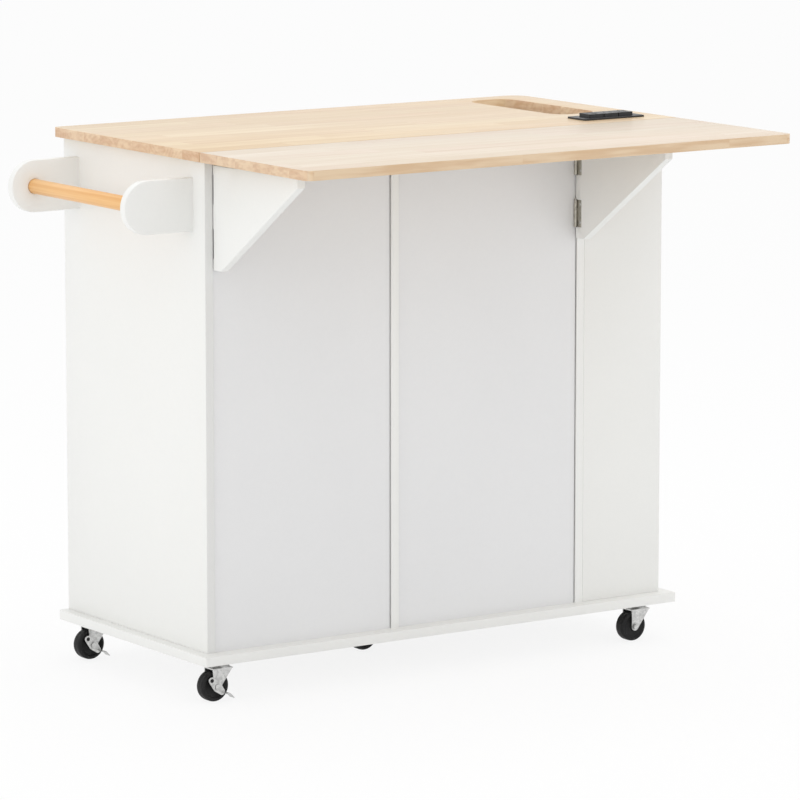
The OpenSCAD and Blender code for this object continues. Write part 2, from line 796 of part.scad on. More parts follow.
// ---- casters ----
// Mounting plate with its race and king pin. The wheel trails towards the towel rail.
module caster_mounts() {
    head_z = crown_z - crown_boss - fork_t - race_gap;
    color(METAL) place() for (c = CASTERS) translate([c[0], c[1], 0]) {
        difference() {
            translate([-mount_plate / 2, -mount_plate / 2, caster_h - mount_t]) linear_extrude(mount_t)
                outline(mount_plate, mount_plate, [4, 4, 4, 4]);
            for (x = [-1, 1], y = [-1, 1]) translate([x, y, 0] * (mount_plate / 2 - 6))
                translate([0, 0, caster_h - mount_t - cut]) cylinder(d = 4.5, h = mount_t + 2 * cut);
        }
        translate([0, 0, caster_h - mount_t - race_h]) cylinder(r = race_r, h = race_h + mount_t / 2);
        translate([0, 0, head_z]) cylinder(r = king_r, h = caster_h - mount_t - head_z);
        translate([0, 0, head_z - 1.5]) cylinder(r = king_r + 2, h = 1.5);
    }
}

// the fork's side outline about the axle: a round foot, an upright rear edge and a raked front edge
module fork_side() {
    foot = 7;
    front = [-(trail + race_r - 1), crown_z - crown_boss - wheel_r];
    reach = norm(front);
    lean = atan2(front[1], front[0]) + acos(foot / reach);
    circle(foot);
    polygon([[foot, 0], [foot, front[1]], front, foot * [cos(lean), sin(lean)], [0, 0]]);
}

module fork(c) {
    head_t = 1.2; // rivet heads on the axle's ends
    head_gap = 0.4; // from the brake lever to the rivet head over it
    crown_low = crown_z - crown_boss - fork_t;
    color(METAL) place() translate([c[0], c[1], 0]) difference() {
        union() {
            for (s = [-1, 1]) translate([trail, s * (fork_w / 2 - fork_t / 2) + fork_t / 2, wheel_r])
                rotate([90, 0, 0]) linear_extrude(fork_t) fork_side();
            block([-race_r + 1, -fork_w / 2, crown_low], [trail + race_r + 6, fork_w, fork_t]);
            translate([0, 0, crown_low + fork_t])
                cylinder(r1 = race_r, r2 = race_r - 3, h = crown_boss, $fn = 96);
            translate([trail, -fork_w / 2 - head_t, wheel_r]) rotate([-90, 0, 0]) {
                cylinder(r = axle_r, h = fork_w / 2 + head_t + lever_y + lever_t + head_gap);
                cylinder(r = axle_r + 1.5, h = head_t);
            }
            translate([trail, lever_y + lever_t + head_gap, wheel_r]) rotate([-90, 0, 0])
                cylinder(r = axle_r + 1.5, h = head_t);
        }
        translate([0, 0, crown_low - cut])
            cylinder(r = king_r + king_fit, h = crown_boss + fork_t + 2 * cut);
    }
}

// a wheel with a rounded tread, dished sides and a hub
module wheel(c) {
    half = wheel_w / 2;
    round_r = 4;
    bore = axle_r + axle_fit;
    hub_r = axle_r + 4;
    tread = 6;
    dish = 2;
    color(BLACK) place() translate([c[0] + trail, c[1], wheel_r]) rotate([90, 0, 0]) rotate_extrude($fn = 96)
        difference() {
            translate([bore, -half]) outline(wheel_r - bore, wheel_w, [0.01, round_r, round_r, 0.01]);
            for (s = [-1, 1]) scale([1, s]) translate([hub_r, half - dish])
                square([wheel_r - tread - hub_r, dish + cut]);
        }
}

// a stamped cheek that turns on the axle beside the fork, with an eye above and a toe tab below
module brake_lever(c) {
    eye = [10.5, 11.5];
    toe = [-9, -9];
    tab_w = 14;
    color(METAL) place() translate([c[0] + trail, c[1] + lever_y, wheel_r]) difference() {
        rotate([90, 0, 0]) mirror([0, 0, 1]) union() {
            linear_extrude(lever_t) hull() {
                translate(eye) circle(6, $fn = 32);
                circle(8.5, $fn = 32);
                translate(toe) circle(5.5, $fn = 32);
            }
            linear_extrude(tab_w) polygon([toe, toe + [-9, -1.4], toe + [-16.6, -9.4], toe + [-15.5, -10.5],
                toe + [-8.4, -3], toe + [0, -1.6]]);
        }
        translate([0, -cut, 0]) rotate([-90, 0, 0]) cylinder(r = axle_r + axle_fit, h = lever_t + 2 * cut);
        translate([eye[0], -cut, eye[1]]) rotate([-90, 0, 0]) cylinder(d = 4.5, h = lever_t + 2 * cut);
    }
}

base_board();
rail_end_panel();
inner_divider();
bay_divider();
back_panels();
bay_back_board();
bay_front_board();
top_stretchers();
front_rails();
hinge_battens();
main_top();
power_strip_housing();
power_sockets();
drop_leaf();
leaf_hinge_fixed();
leaf_hinge_moving();
rail_bracket();
bay_bracket();
bracket_hinge_fixed();
rail_bracket_hinge();
bay_bracket_hinge();
hinge_pins();
towel_arms();
towel_rail();
rail_door();
mid_door();
door_hinge_fixed();
rail_door_hinge();
mid_door_hinge();
rail_door_knob();
mid_door_knob();
rail_drawer_front();
mid_drawer_front();
rail_drawer_box();
mid_drawer_box();
rail_drawer_bottom();
mid_drawer_bottom();
rail_drawer_knob();
mid_drawer_knob();
runner_channels();
rail_drawer_slides();
mid_drawer_slides();
shelves();
shelf_pins();
caster_mounts();
fork(CASTERS[0]);  // fork_1
fork(CASTERS[1]);  // fork_2
fork(CASTERS[2]);  // fork_3
fork(CASTERS[3]);  // fork_4
fork(CASTERS[4]);  // fork_5
wheel(CASTERS[0]);  // wheel_1
wheel(CASTERS[1]);  // wheel_2
wheel(CASTERS[2]);  // wheel_3
wheel(CASTERS[3]);  // wheel_4
wheel(CASTERS[4]);  // wheel_5
brake_lever(CASTERS[0]);  // brake_lever_1
brake_lever(CASTERS[1]);  // brake_lever_2
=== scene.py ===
# %% [markdown]
# # A drop leaf kitchen island
#
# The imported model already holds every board, hinge, drawer and wheel at its real size, as the
# bodies that move it. This lesson dresses it: it softens the boards' edges, turns the round pieces
# with more detail than a solid model needs, and gives each surface its finish.
# The first step is to load the frame and to keep the box that the dressed pieces must stay in.

# %% Load the frame
import json
import math

import bmesh
import bpy
from mathutils import Matrix, Vector


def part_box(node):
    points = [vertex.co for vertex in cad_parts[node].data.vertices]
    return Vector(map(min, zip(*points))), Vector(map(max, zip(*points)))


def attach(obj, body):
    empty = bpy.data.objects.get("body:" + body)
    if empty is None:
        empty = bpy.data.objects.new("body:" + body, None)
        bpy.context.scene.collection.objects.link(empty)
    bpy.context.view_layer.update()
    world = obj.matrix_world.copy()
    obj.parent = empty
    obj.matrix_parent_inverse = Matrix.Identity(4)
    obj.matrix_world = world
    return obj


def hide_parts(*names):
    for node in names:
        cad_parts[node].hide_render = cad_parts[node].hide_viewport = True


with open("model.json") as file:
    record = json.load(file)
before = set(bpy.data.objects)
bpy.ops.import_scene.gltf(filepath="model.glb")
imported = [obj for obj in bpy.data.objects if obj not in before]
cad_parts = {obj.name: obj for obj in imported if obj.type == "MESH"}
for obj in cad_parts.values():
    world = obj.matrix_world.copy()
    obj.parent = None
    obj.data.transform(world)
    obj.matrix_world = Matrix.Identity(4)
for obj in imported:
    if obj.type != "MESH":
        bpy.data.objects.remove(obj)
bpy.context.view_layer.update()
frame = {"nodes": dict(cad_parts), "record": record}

# %% [markdown]
# ## The camera
#
# The photograph was taken from the leaf side, turned towards the towel rail, with a long lens a
# little over the worktop. A camera could be posed by eye, but its numbers come from a least squares
# fit of the island's own corners, so they are written here as two angles, a distance and a lens.
# Lengths are in metres, and the lens and its sensor in millimetres.

# %% Place the camera
VIEW_AZIMUTH = math.radians(34.2)
VIEW_ELEVATION = math.radians(9.235)
VIEW_DISTANCE = 8.426
VIEW_ASIDE = -0.0175
VIEW_HEIGHT = 0.4593
VIEW_LENS = 224.62
SENSOR_WIDTH = 36
CLIP_END = 200

target = Vector((VIEW_ASIDE * math.cos(VIEW_AZIMUTH), -VIEW_ASIDE * math.sin(VIEW_AZIMUTH), VIEW_HEIGHT))
towards_viewer = Vector((math.sin(VIEW_AZIMUTH) * math.cos(VIEW_ELEVATION),
                         math.cos(VIEW_AZIMUTH) * math.cos(VIEW_ELEVATION),
                         math.sin(VIEW_ELEVATION)))
camera = bpy.data.objects.new("photo_camera", bpy.data.cameras.new("photo_camera"))
bpy.context.scene.collection.objects.link(camera)
camera.location = target + VIEW_DISTANCE * towards_viewer
camera.rotation_mode = "QUATERNION"
camera.rotation_quaternion = (-towards_viewer).to_track_quat("-Z", "Y")
camera.data.lens = VIEW_LENS
camera.data.sensor_width = SENSOR_WIDTH
camera.data.clip_end = CLIP_END
bpy.context.scene.camera = camera
bpy.context.scene.view_settings.view_transform = "Standard"
print("camera at", [round(v, 3) for v in camera.location])

# %% [markdown]
# ## The room
#
# The object stands in a plain white studio, and the world lights it evenly from all round. What
# the camera, mirrors and glass see could be that same light, but then a white background would
# need more of it than the object does. So Light Path chooses: the camera and the reflections see a
# white of strength one, and the object is lit by a second, slightly weaker one.

# %% Light the room from all round
WORLD_LIGHT = 0.88
SKY_WHITE = (0.995, 0.998, 1.0, 1)
FULL_WHITE = (1, 1, 1, 1)


def seen_directly(nodes, links):
    """1 where the camera, a reflection or a transmitted ray looks, 0 for light that falls on things."""
    path = nodes.new("ShaderNodeLightPath")
    total = path.outputs["Is Camera Ray"]
    for other in ("Is Glossy Ray", "Is Transmission Ray"):
        step = nodes.new("ShaderNodeMath")
        step.operation = "MAXIMUM"
        links.new(total, step.inputs[0])
        links.new(path.outputs[other], step.inputs[1])
        total = step.outputs[0]
    return total


world = bpy.data.worlds.new("white_studio")
world.use_nodes = True
bpy.context.scene.world = world
sky_nodes, sky_links = world.node_tree.nodes, world.node_tree.links
sky_nodes.clear()
soft_light = sky_nodes.new("ShaderNodeBackground")
soft_light.inputs["Color"].default_value = SKY_WHITE
soft_light.inputs["Strength"].default_value = WORLD_LIGHT
white_wall = sky_nodes.new("ShaderNodeBackground")
white_wall.inputs["Color"].default_value = FULL_WHITE
white_wall.inputs["Strength"].default_value = 1.0
choose = sky_nodes.new("ShaderNodeMixShader")
sky_links.new(seen_directly(sky_nodes, sky_links), choose.inputs[0])
sky_links.new(soft_light.outputs[0], choose.inputs[1])
sky_links.new(white_wall.outputs[0], choose.inputs[2])
world_out = sky_nodes.new("ShaderNodeOutputWorld")
sky_links.new(choose.outputs[0], world_out.inputs["Surface"])
print("world strength", WORLD_LIGHT)

# %% [markdown]
# ## The lamps
#
# The world alone would give every board the same tone. A large lamp on the towel rail's side makes
# that end brighter than the back, one overhead lifts the worktop, and a weak one near the floor
# fills the base's shadow. Square softboxes keep the shadows soft. They are hidden from
# reflections, or a low one would glare on the lacquer when it is seen from the far end.

# %% Hang the lamps
SIDE_POWER = 30
TOP_POWER = 41
LOW_POWER = 8
# name, where it hangs, what it points at, the length of its side, and its power
SOFTBOXES = (("side_softbox", (5.0, 0.4, 1.5), (0.3, 0.0, 0.45), 2.0, SIDE_POWER),
             ("top_softbox", (-0.7, 0.1, 4.6), (0.0, 0.0, 0.9), 2.6, TOP_POWER),
             ("low_softbox", (-2.6, 3.8, 0.9), (-0.2, 0.2, 0.3), 2.0, LOW_POWER))


def softbox(name, place, aim, side, power):
    lamp = bpy.data.lights.new(name, "AREA")
    lamp.shape, lamp.size, lamp.energy = "SQUARE", side, power
    holder = bpy.data.objects.new(name, lamp)
    holder.location = place
    holder.rotation_mode = "QUATERNION"
    holder.rotation_quaternion = (Vector(aim) - Vector(place)).to_track_quat("-Z", "Y")
    holder.visible_glossy = False
    bpy.context.scene.collection.objects.link(holder)


for box in SOFTBOXES:
    softbox(*box)
    print(box[0], "of", box[-1], "W")

# %% [markdown]
# ## The floor
#
# A floor that is only lit would end in a grey horizon. Mixed with a white that only the camera and
# reflections see, it runs into the background and still keeps the soft shadow under the casters.

# %% Lay the floor
FLOOR_SIDE = 120
FLOOR_WHITE = (0.92, 0.92, 0.92, 1)
WHITE_SHARE = 0.86

floor_bm = bmesh.new()
bmesh.ops.create_grid(floor_bm, x_segments=1, y_segments=1, size=FLOOR_SIDE / 2)
floor_mesh = bpy.data.meshes.new("studio_floor")
floor_bm.to_mesh(floor_mesh)
floor_bm.free()
floor = bpy.data.objects.new("studio_floor", floor_mesh)
bpy.context.scene.collection.objects.link(floor)
floor_mat = bpy.data.materials.new("studio_floor")
floor_mat.use_nodes = True
fn, fl = floor_mat.node_tree.nodes, floor_mat.node_tree.links
fn.clear()
paper = fn.new("ShaderNodeBsdfDiffuse")
paper.inputs["Color"].default_value = FLOOR_WHITE
glow = fn.new("ShaderNodeEmission")
glow.inputs["Color"].default_value = FULL_WHITE
glow.inputs["Strength"].default_value = 1.0
share = fn.new("ShaderNodeMath")
share.operation = "MULTIPLY"
share.inputs[1].default_value = WHITE_SHARE
fl.new(seen_directly(fn, fl), share.inputs[0])
both = fn.new("ShaderNodeMixShader")
fl.new(share.outputs[0], both.inputs[0])
fl.new(paper.outputs[0], both.inputs[1])
fl.new(glow.outputs[0], both.inputs[2])
floor_out = fn.new("ShaderNodeOutputMaterial")
fl.new(both.outputs[0], floor_out.inputs["Surface"])
floor.data.materials.append(floor_mat)
print("floor of", FLOOR_SIDE, "m")

# %% [markdown]
# ## Tools for finishes
#
# Every finish is a tree of nodes that reads Object coordinates. All objects sit at the origin, so
# these coordinates are the island's own metres and a pattern has its real scale on every piece.
# The helpers keep the trees short. One does arithmetic, one stretches the coordinates, one makes
# clouds of noise, one turns a range of numbers into a mask, and two mix colours.

# %% Helpers for node trees


def new_finish(name, colour, roughness, metallic=0.0):
    """A material with its shader and its Object coordinates. Even values sit on the shader itself."""
    material = bpy.data.materials.new(name)
    material.use_nodes = True
    tree = material.node_tree
    shader = tree.nodes["Principled BSDF"]
    shader.inputs["Base Color"].default_value = (*colour, 1)
    shader.inputs["Roughness"].default_value = roughness
    shader.inputs["Metallic"].default_value = metallic
    where = tree.nodes.new("ShaderNodeTexCoord").outputs["Object"]
    return material, tree, shader, where


def feed(tree, target, value):
    """Links a socket, or writes a number."""
    if isinstance(value, bpy.types.NodeSocket):
        tree.links.new(value, target)
    else:
        target.default_value = value


def sums(tree, operation, first, second=0.0, third=0.0):
    """One step of arithmetic, on sockets or numbers."""
    node = tree.nodes.new("ShaderNodeMath")
    node.operation = operation
    for socket, value in zip(node.inputs, (first, second, third)):
        feed(tree, socket, value)
    return node.outputs[0]


def stretched(tree, where, scale):
    """The coordinates times scale, so a noise on them is long where the scale is small."""
    node = tree.nodes.new("ShaderNodeMapping")
    feed(tree, node.inputs["Vector"], where)
    node.inputs["Scale"].default_value = scale
    return node.outputs[0]


def cloud(tree, where, scale, detail=2.0, rough=0.5):
    """Soft noise between 0 and 1, with about scale lumps to the metre."""
    node = tree.nodes.new("ShaderNodeTexNoise")
    feed(tree, node.inputs["Vector"], where)
    node.inputs["Scale"].default_value = scale
    node.inputs["Detail"].default_value = detail
    node.inputs["Roughness"].default_value = rough
    return node.outputs[0]


def between(tree, value, low, high, to_low=0.0, to_high=1.0):
    """A soft step: to_low where the value is under low, to_high where it is over high."""
    node = tree.nodes.new("ShaderNodeMapRange")
    node.interpolation_type = "SMOOTHSTEP"
    feed(tree, node.inputs["Value"], value)
    for name, number in (("From Min", low), ("From Max", high), ("To Min", to_low), ("To Max", to_high)):
        node.inputs[name].default_value = number
    return node.outputs[0]


def blend_colour(tree, share, first, second):
    """The first colour where share is 0, and the second where it is 1."""
    node = tree.nodes.new("ShaderNodeMix")
    node.data_type = "RGBA"
    feed(tree, node.inputs[0], share)
    for socket, value in ((node.inputs[6], first), (node.inputs[7], second)):
        feed(tree, socket, value if isinstance(value, bpy.types.NodeSocket) else (*value, 1))
    return node.outputs[2]


def layer(tree, mask, strength, under, over):
    """The colour under, with over laid on it at that strength where the mask is 1."""
    return blend_colour(tree, sums(tree, "MULTIPLY", mask, strength), under, over)


def relief(tree, shader, height, depth):
    """Bump of the given depth in metres, from a height between 0 and 1."""
    node = tree.nodes.new("ShaderNodeBump")
    node.inputs["Strength"].default_value = 1.0
    node.inputs["Distance"].default_value = depth
    feed(tree, node.inputs["Height"], height)
    tree.links.new(node.outputs[0], shader.inputs["Normal"])


print("node helpers ready")

# %% [markdown]
# ## Painted boards
#
# The carcass is particle board with a white satin foil. Up close such a foil has a faint orange
# peel, and a hand's width of it never has quite one tone. Clouds of a few decimetres move the
# colour by a percent or two, a fine noise moves the gloss, and a bump of a few hundredths of a
# millimetre breaks up the reflections. The back panels are the same idea in a cooler grey white.
# The board at the towel rail end has a painted shade on its long edge, a grey near the panels' tone. A mask
# on the Y coordinate colours the board's last millimetre with it.

# %% Make the painted finishes
PATCH_SCALE, MOTTLE_SCALE, GLOSS_SCALE, PEEL_SCALE = 3.5, 160.0, 45.0, 850.0
PATCH_SHARE, MOTTLE_SHARE = 0.65, 0.35
PEEL_DEPTH = 0.00003
EDGE_SHADE_SOFT = 0.0002


def painted(name, light, shade, roughness, edge_shade=None, edge_shade_from=0.0):
    """The optional colour is painted shade, laid on the material beyond the given Y coordinate."""
    material, tree, shader, where = new_finish(name, light, roughness)
    patches = between(tree, cloud(tree, where, PATCH_SCALE), 0.3, 0.7)
    mottle = between(tree, cloud(tree, where, MOTTLE_SCALE), 0.25, 0.75)
    clouds = sums(tree, "MULTIPLY_ADD", mottle, MOTTLE_SHARE, sums(tree, "MULTIPLY", patches, PATCH_SHARE))
    tone = blend_colour(tree, clouds, light, shade)
    # Painted shade: the board's last millimetre along Y is turned to a darker grey.
    if edge_shade:
        split = tree.nodes.new("ShaderNodeSeparateXYZ")
        tree.links.new(where, split.inputs[0])
        shaded_edge = between(tree, split.outputs[1], edge_shade_from, edge_shade_from + EDGE_SHADE_SOFT)
        tone = blend_colour(tree, shaded_edge, tone, edge_shade)
    tree.links.new(tone, shader.inputs["Base Color"])
    gloss = between(tree, cloud(tree, where, GLOSS_SCALE, 3.0), 0.3, 0.7, roughness - 0.05, roughness + 0.07)
    tree.links.new(gloss, shader.inputs["Roughness"])
    relief(tree, shader, cloud(tree, where, PEEL_SCALE), PEEL_DEPTH)
    return material


FOIL_LIGHT, FOIL_SHADE, FOIL_ROUGHNESS = (0.885, 0.885, 0.862), (0.865, 0.866, 0.845), 0.40
PANEL_LIGHT, PANEL_SHADE, PANEL_ROUGHNESS = (0.832, 0.833, 0.838), (0.812, 0.813, 0.819), 0.46
# The grey of the painted shade on the towel rail end board's long edge, and how deep into the board it
# reaches.
EDGE_SHADE_GREY = (0.775, 0.776, 0.762)
EDGE_SHADE_DEPTH = 0.001
white_board = painted("white_board", FOIL_LIGHT, FOIL_SHADE, FOIL_ROUGHNESS)
back_panel = painted("back_panel", PANEL_LIGHT, PANEL_SHADE, PANEL_ROUGHNESS)
end_board_edge_shade = painted("white_board_edge_shade", FOIL_LIGHT, FOIL_SHADE, FOIL_ROUGHNESS,
                    EDGE_SHADE_GREY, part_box("rail_end_panel")[1].y - EDGE_SHADE_DEPTH)
print("painted:", white_board.name, back_panel.name, end_board_edge_shade.name)

# %% [markdown]
# ## Edge-glued hardwood
#
# The worktop and the leaf are glued up from staves a few centimetres wide that run the long way.
# An image of wood would show its repeats, and would not match from the face to the end grain. A
# solid pattern does: each stave gets its own random numbers from its row and its place in the row,
# and they pick its tone and move the centre of its year rings. White noise gives the same numbers
# for the same stave every time, so the wood is the same in every render.

# %% Helper that finds the stave and rolls its numbers
ROW_SHIFT = 9.7


def stave_numbers(tree, x, y, stave_w, stave_l, start_y):
    """The place across the rows, the number of the row, and three random numbers for the stave."""
    across = sums(tree, "DIVIDE", sums(tree, "SUBTRACT", y, start_y), stave_w)
    row = sums(tree, "FLOOR", across)
    row_dice = tree.nodes.new("ShaderNodeTexWhiteNoise")
    row_dice.noise_dimensions = "1D"
    feed(tree, row_dice.inputs["W"], row)
    along = sums(tree, "MULTIPLY_ADD", row_dice.outputs[0], ROW_SHIFT, sums(tree, "DIVIDE", x, stave_l))
    pair = tree.nodes.new("ShaderNodeCombineXYZ")
    feed(tree, pair.inputs[0], row)
    feed(tree, pair.inputs[1], sums(tree, "FLOOR", along))
    dice = tree.nodes.new("ShaderNodeTexWhiteNoise")
    dice.noise_dimensions = "3D"
    feed(tree, dice.inputs["Vector"], pair.outputs[0])
    rolls = tree.nodes.new("ShaderNodeSeparateColor")
    tree.links.new(dice.outputs["Color"], rolls.inputs[0])
    return across, row, rolls.outputs


print("rows are shifted by up to", ROW_SHIFT, "stave lengths")

# %% [markdown]
# The rings are circles round a line that runs along the stave, a little under its face, and a slow
# noise bends them. So the same rings show as long grain on the faces and as arcs on the ends.

# %% Helper for the grain inside a stave
PUSH_X, PUSH_Y, PUSH_Z = 3.0, 0.10, 0.12
HEART_Z, HEART_SPREAD = 0.86, 0.03
RINGS_PER_METRE = 260.0
RING_BEND = 4.0
BEND_SCALE = (1.6, 7.0, 7.0)


def stave_grain(tree, x, y, z, row, rolls, stave_w, start_y):
    """Coordinates that each stave has for itself, and its year rings as a mask."""
    first, second, third = rolls
    local_x = sums(tree, "MULTIPLY_ADD", third, PUSH_X, x)
    local_y = sums(tree, "MULTIPLY_ADD", sums(tree, "SUBTRACT", first, 0.5), PUSH_Y, y)
    local_z = sums(tree, "MULTIPLY_ADD", sums(tree, "SUBTRACT", second, 0.5), PUSH_Z, z)
    local_z = sums(tree, "SUBTRACT", local_z, sums(tree, "MULTIPLY_ADD", third, HEART_SPREAD, HEART_Z))
    inside = tree.nodes.new("ShaderNodeCombineXYZ")
    for socket, value in zip(inside.inputs, (local_x, local_y, local_z)):
        feed(tree, socket, value)
    bend = cloud(tree, stretched(tree, inside.outputs[0], BEND_SCALE), 1.0)
    middle = sums(tree, "MULTIPLY_ADD", row, stave_w, start_y)
    ring_y = sums(tree, "SUBTRACT", local_y, sums(tree, "MULTIPLY_ADD", second, stave_w, middle))
    squares = sums(tree, "MULTIPLY_ADD", ring_y, ring_y, sums(tree, "MULTIPLY", local_z, local_z))
    turns = sums(tree, "MULTIPLY", sums(tree, "SQRT", squares), RINGS_PER_METRE)
    turns = sums(tree, "MULTIPLY_ADD", bend, RING_BEND, turns)
    return inside.outputs[0], between(tree, sums(tree, "PINGPONG", turns, 1.0), 0.15, 1.0)


print("about", 1000 / RINGS_PER_METRE, "mm from ring to ring")

# %% [markdown]
# Sawn ends drink more lacquer than the faces: they are darker, in soft patches, with faint arcs.
# The long edges show the staves' sides, more tan than the sanded face. Which is which comes from
# the direction that the surface faces, read from the object's own normals. A flat colour for each
# would look painted on, so both are blended over the same rings and patches as the face.

# %% Helper for sawn ends and long edges
SAWN_PALE, SAWN_DARK = (0.820, 0.620, 0.415), (0.640, 0.390, 0.230)
EDGE_PALE, EDGE_TAN = (0.860, 0.650, 0.425), (0.700, 0.455, 0.245)
SAWN_RINGS, EDGE_SHARE = 0.40, 0.80
PATCHES_SCALE = (9.0, 45.0, 110.0)


def with_edges(tree, face_tone, inside, rings, first, dark):
    """The face's colour, with the tones of the ends and of the long edges where these show."""
    normal = tree.nodes.new("ShaderNodeSeparateXYZ")
    tree.links.new(tree.nodes.new("ShaderNodeTexCoord").outputs["Normal"], normal.inputs[0])
    end_grain = between(tree, sums(tree, "ABSOLUTE", normal.outputs[0]), 0.55, 0.9)
    long_edge = between(tree, sums(tree, "ABSOLUTE", normal.outputs[1]), 0.55, 0.9, 0.0, EDGE_SHARE)
    patches = between(tree, cloud(tree, stretched(tree, inside, PATCHES_SCALE), 1.0, 3.0), 0.35, 0.65)
    depth = sums(tree, "MULTIPLY_ADD", patches, 0.55, sums(tree, "MULTIPLY", first, 0.45))
    sawn = blend_colour(tree, depth, SAWN_PALE, SAWN_DARK)
    sawn = layer(tree, sums(tree, "MULTIPLY", rings, patches), SAWN_RINGS, sawn, dark)
    tone = blend_colour(tree, end_grain, face_tone, sawn)
    return blend_colour(tree, long_edge, tone, blend_colour(tree, patches, EDGE_PALE, EDGE_TAN))


print("sawn ends", SAWN_PALE, "to", SAWN_DARK)

# %% [markdown]
# The face is built up as layers over a pale ground: the stave's own tone, a rosy cast on some of
# them, slow streaks, rings, fibres and short dark pores. A thin dark line marks each glue joint.
# The leaf came from a paler batch than the worktop, so the same recipe has two sets of colours.

# %% Make the worktop's wood
LACQUER = 0.38
LACQUER_ROUGHNESS = 0.22
FIBRE_SCALE, PORE_SCALE, DRIFT_SCALE = (5.0, 240.0, 240.0), (42.0, 1300.0, 1300.0), (3.2, 26.0, 26.0)
ROSY_SHARE, DRIFT_SHARE, RING_SHARE = 0.45, 0.75, 0.26
FIBRE_SHARE, PORE_SHARE, GLUE_SHARE = 0.28, 0.26, 0.22
WOOD_RELIEF = 0.00003


def rosy(colour):
    return colour[0] * 1.02, colour[1] * 0.93, colour[2] * 0.97


def glued_wood(name, colours, stave_w, stave_l, start_y):
    pale, tan, dark = colours
    material, tree, shader, where = new_finish(name, pale, 0.42)
    shader.inputs["Coat Weight"].default_value = LACQUER
    shader.inputs["Coat Roughness"].default_value = LACQUER_ROUGHNESS
    split = tree.nodes.new("ShaderNodeSeparateXYZ")
    tree.links.new(where, split.inputs[0])
    x, y, z = split.outputs
    across, row, rolls = stave_numbers(tree, x, y, stave_w, stave_l, start_y)
    first, second, _ = rolls
    inside, rings = stave_grain(tree, x, y, z, row, rolls, stave_w, start_y)
    fibre = cloud(tree, stretched(tree, inside, FIBRE_SCALE), 1.0, 3.0, 0.6)
    pores = between(tree, cloud(tree, stretched(tree, inside, PORE_SCALE), 1.0), 0.62, 0.76)
    drift = between(tree, cloud(tree, stretched(tree, inside, DRIFT_SCALE), 1.0, 3.0), 0.34, 0.66)
    tone = blend_colour(tree, between(tree, first, 0.1, 0.9), pale, tan)
    tone = layer(tree, between(tree, second, 0.45, 0.9), ROSY_SHARE, tone, rosy(tan))
    tone = layer(tree, drift, DRIFT_SHARE, tone, tan)
    tone = layer(tree, rings, RING_SHARE, tone, dark)
    tone = layer(tree, between(tree, fibre, 0.38, 0.72), FIBRE_SHARE, tone, dark)
    tone = layer(tree, pores, PORE_SHARE, tone, dark)
    tone = with_edges(tree, tone, inside, rings, first, dark)
    from_middle = sums(tree, "ABSOLUTE", sums(tree, "SUBTRACT", sums(tree, "FRACT", across), 0.5))
    tone = layer(tree, between(tree, from_middle, 0.490, 0.5), GLUE_SHARE, tone, dark)
    tree.links.new(tone, shader.inputs["Base Color"])
    tree.links.new(between(tree, fibre, 0.3, 0.7, 0.36, 0.50), shader.inputs["Roughness"])
    relief(tree, shader, sums(tree, "SUBTRACT", fibre, sums(tree, "MULTIPLY", pores, 0.8)), WOOD_RELIEF)
    return material


# pale, tan and dark of each batch, then the staves' width and length
TOP_COLOURS = ((0.835, 0.673, 0.432), (0.748, 0.560, 0.335), (0.560, 0.360, 0.183))
LEAF_COLOURS = ((0.842, 0.745, 0.613), (0.750, 0.635, 0.485), (0.590, 0.418, 0.264))
TOP_STAVE, LEAF_STAVE = (0.052, 0.36), (0.053, 0.42)
top_low, top_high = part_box("main_top")
leaf_low, leaf_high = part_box("drop_leaf")
light_oak = glued_wood("light_oak", TOP_COLOURS, *TOP_STAVE, top_low.y)
leaf_oak = glued_wood("light_oak_leaf", LEAF_COLOURS, *LEAF_STAVE, leaf_low.y)
print("wood:", light_oak.name, "and the paler", leaf_oak.name)

# %% [markdown]
# ## The towel rail's wood
#
# The rail is turned from one stick of a warmer, more orange wood, with its grain along the rail.
# Here the rings run along Y, so a noise that is long in Y and short across is enough.

# %% Make the rail's wood
STREAK_SCALE, HAIR_SCALE = (150.0, 2.2, 150.0), (900.0, 16.0, 900.0)
HAIR_SHARE, HAIR_RELIEF = 0.4, 0.00004
RAIL_PALE, RAIL_DARK = (0.900, 0.545, 0.235), (0.790, 0.420, 0.150)


def rail_wood(name, pale, dark):
    material, tree, shader, where = new_finish(name, pale, 0.36)
    streaks = cloud(tree, stretched(tree, where, STREAK_SCALE), 1.0, 3.0, 0.55)
    hairs = cloud(tree, stretched(tree, where, HAIR_SCALE), 1.0)
    tone = blend_colour(tree, between(tree, streaks, 0.34, 0.68), pale, dark)
    tone = layer(tree, between(tree, hairs, 0.5, 0.75), HAIR_SHARE, tone, dark)
    tree.links.new(tone, shader.inputs["Base Color"])
    relief(tree, shader, hairs, HAIR_RELIEF)
    return material


pine_rail = rail_wood("pine_rail", RAIL_PALE, RAIL_DARK)
print("rail wood:", pine_rail.name)

# %% [markdown]
# ## Metal
#
# The casters and hinges are pressed sheet with a bright zinc coat. Zinc sets in small crystals
# that turn the light in different ways, so cells of a few millimetres change the gloss a little.
# The hinges take a darker, warmer zinc, which is painted shade for the gaps and mortises they sit in. The
# knobs are plated too, in a smoother and darker nickel, so they share the recipe with fainter crystals.

# %% Make the metals
CRYSTAL_SCALE, HAZE_SCALE = 420.0, 150.0
DULL_SHARE, HAZE_SHARE, CRYSTAL_GLOSS = 0.62, 1.5, 0.12
METAL_RELIEF = 0.00012


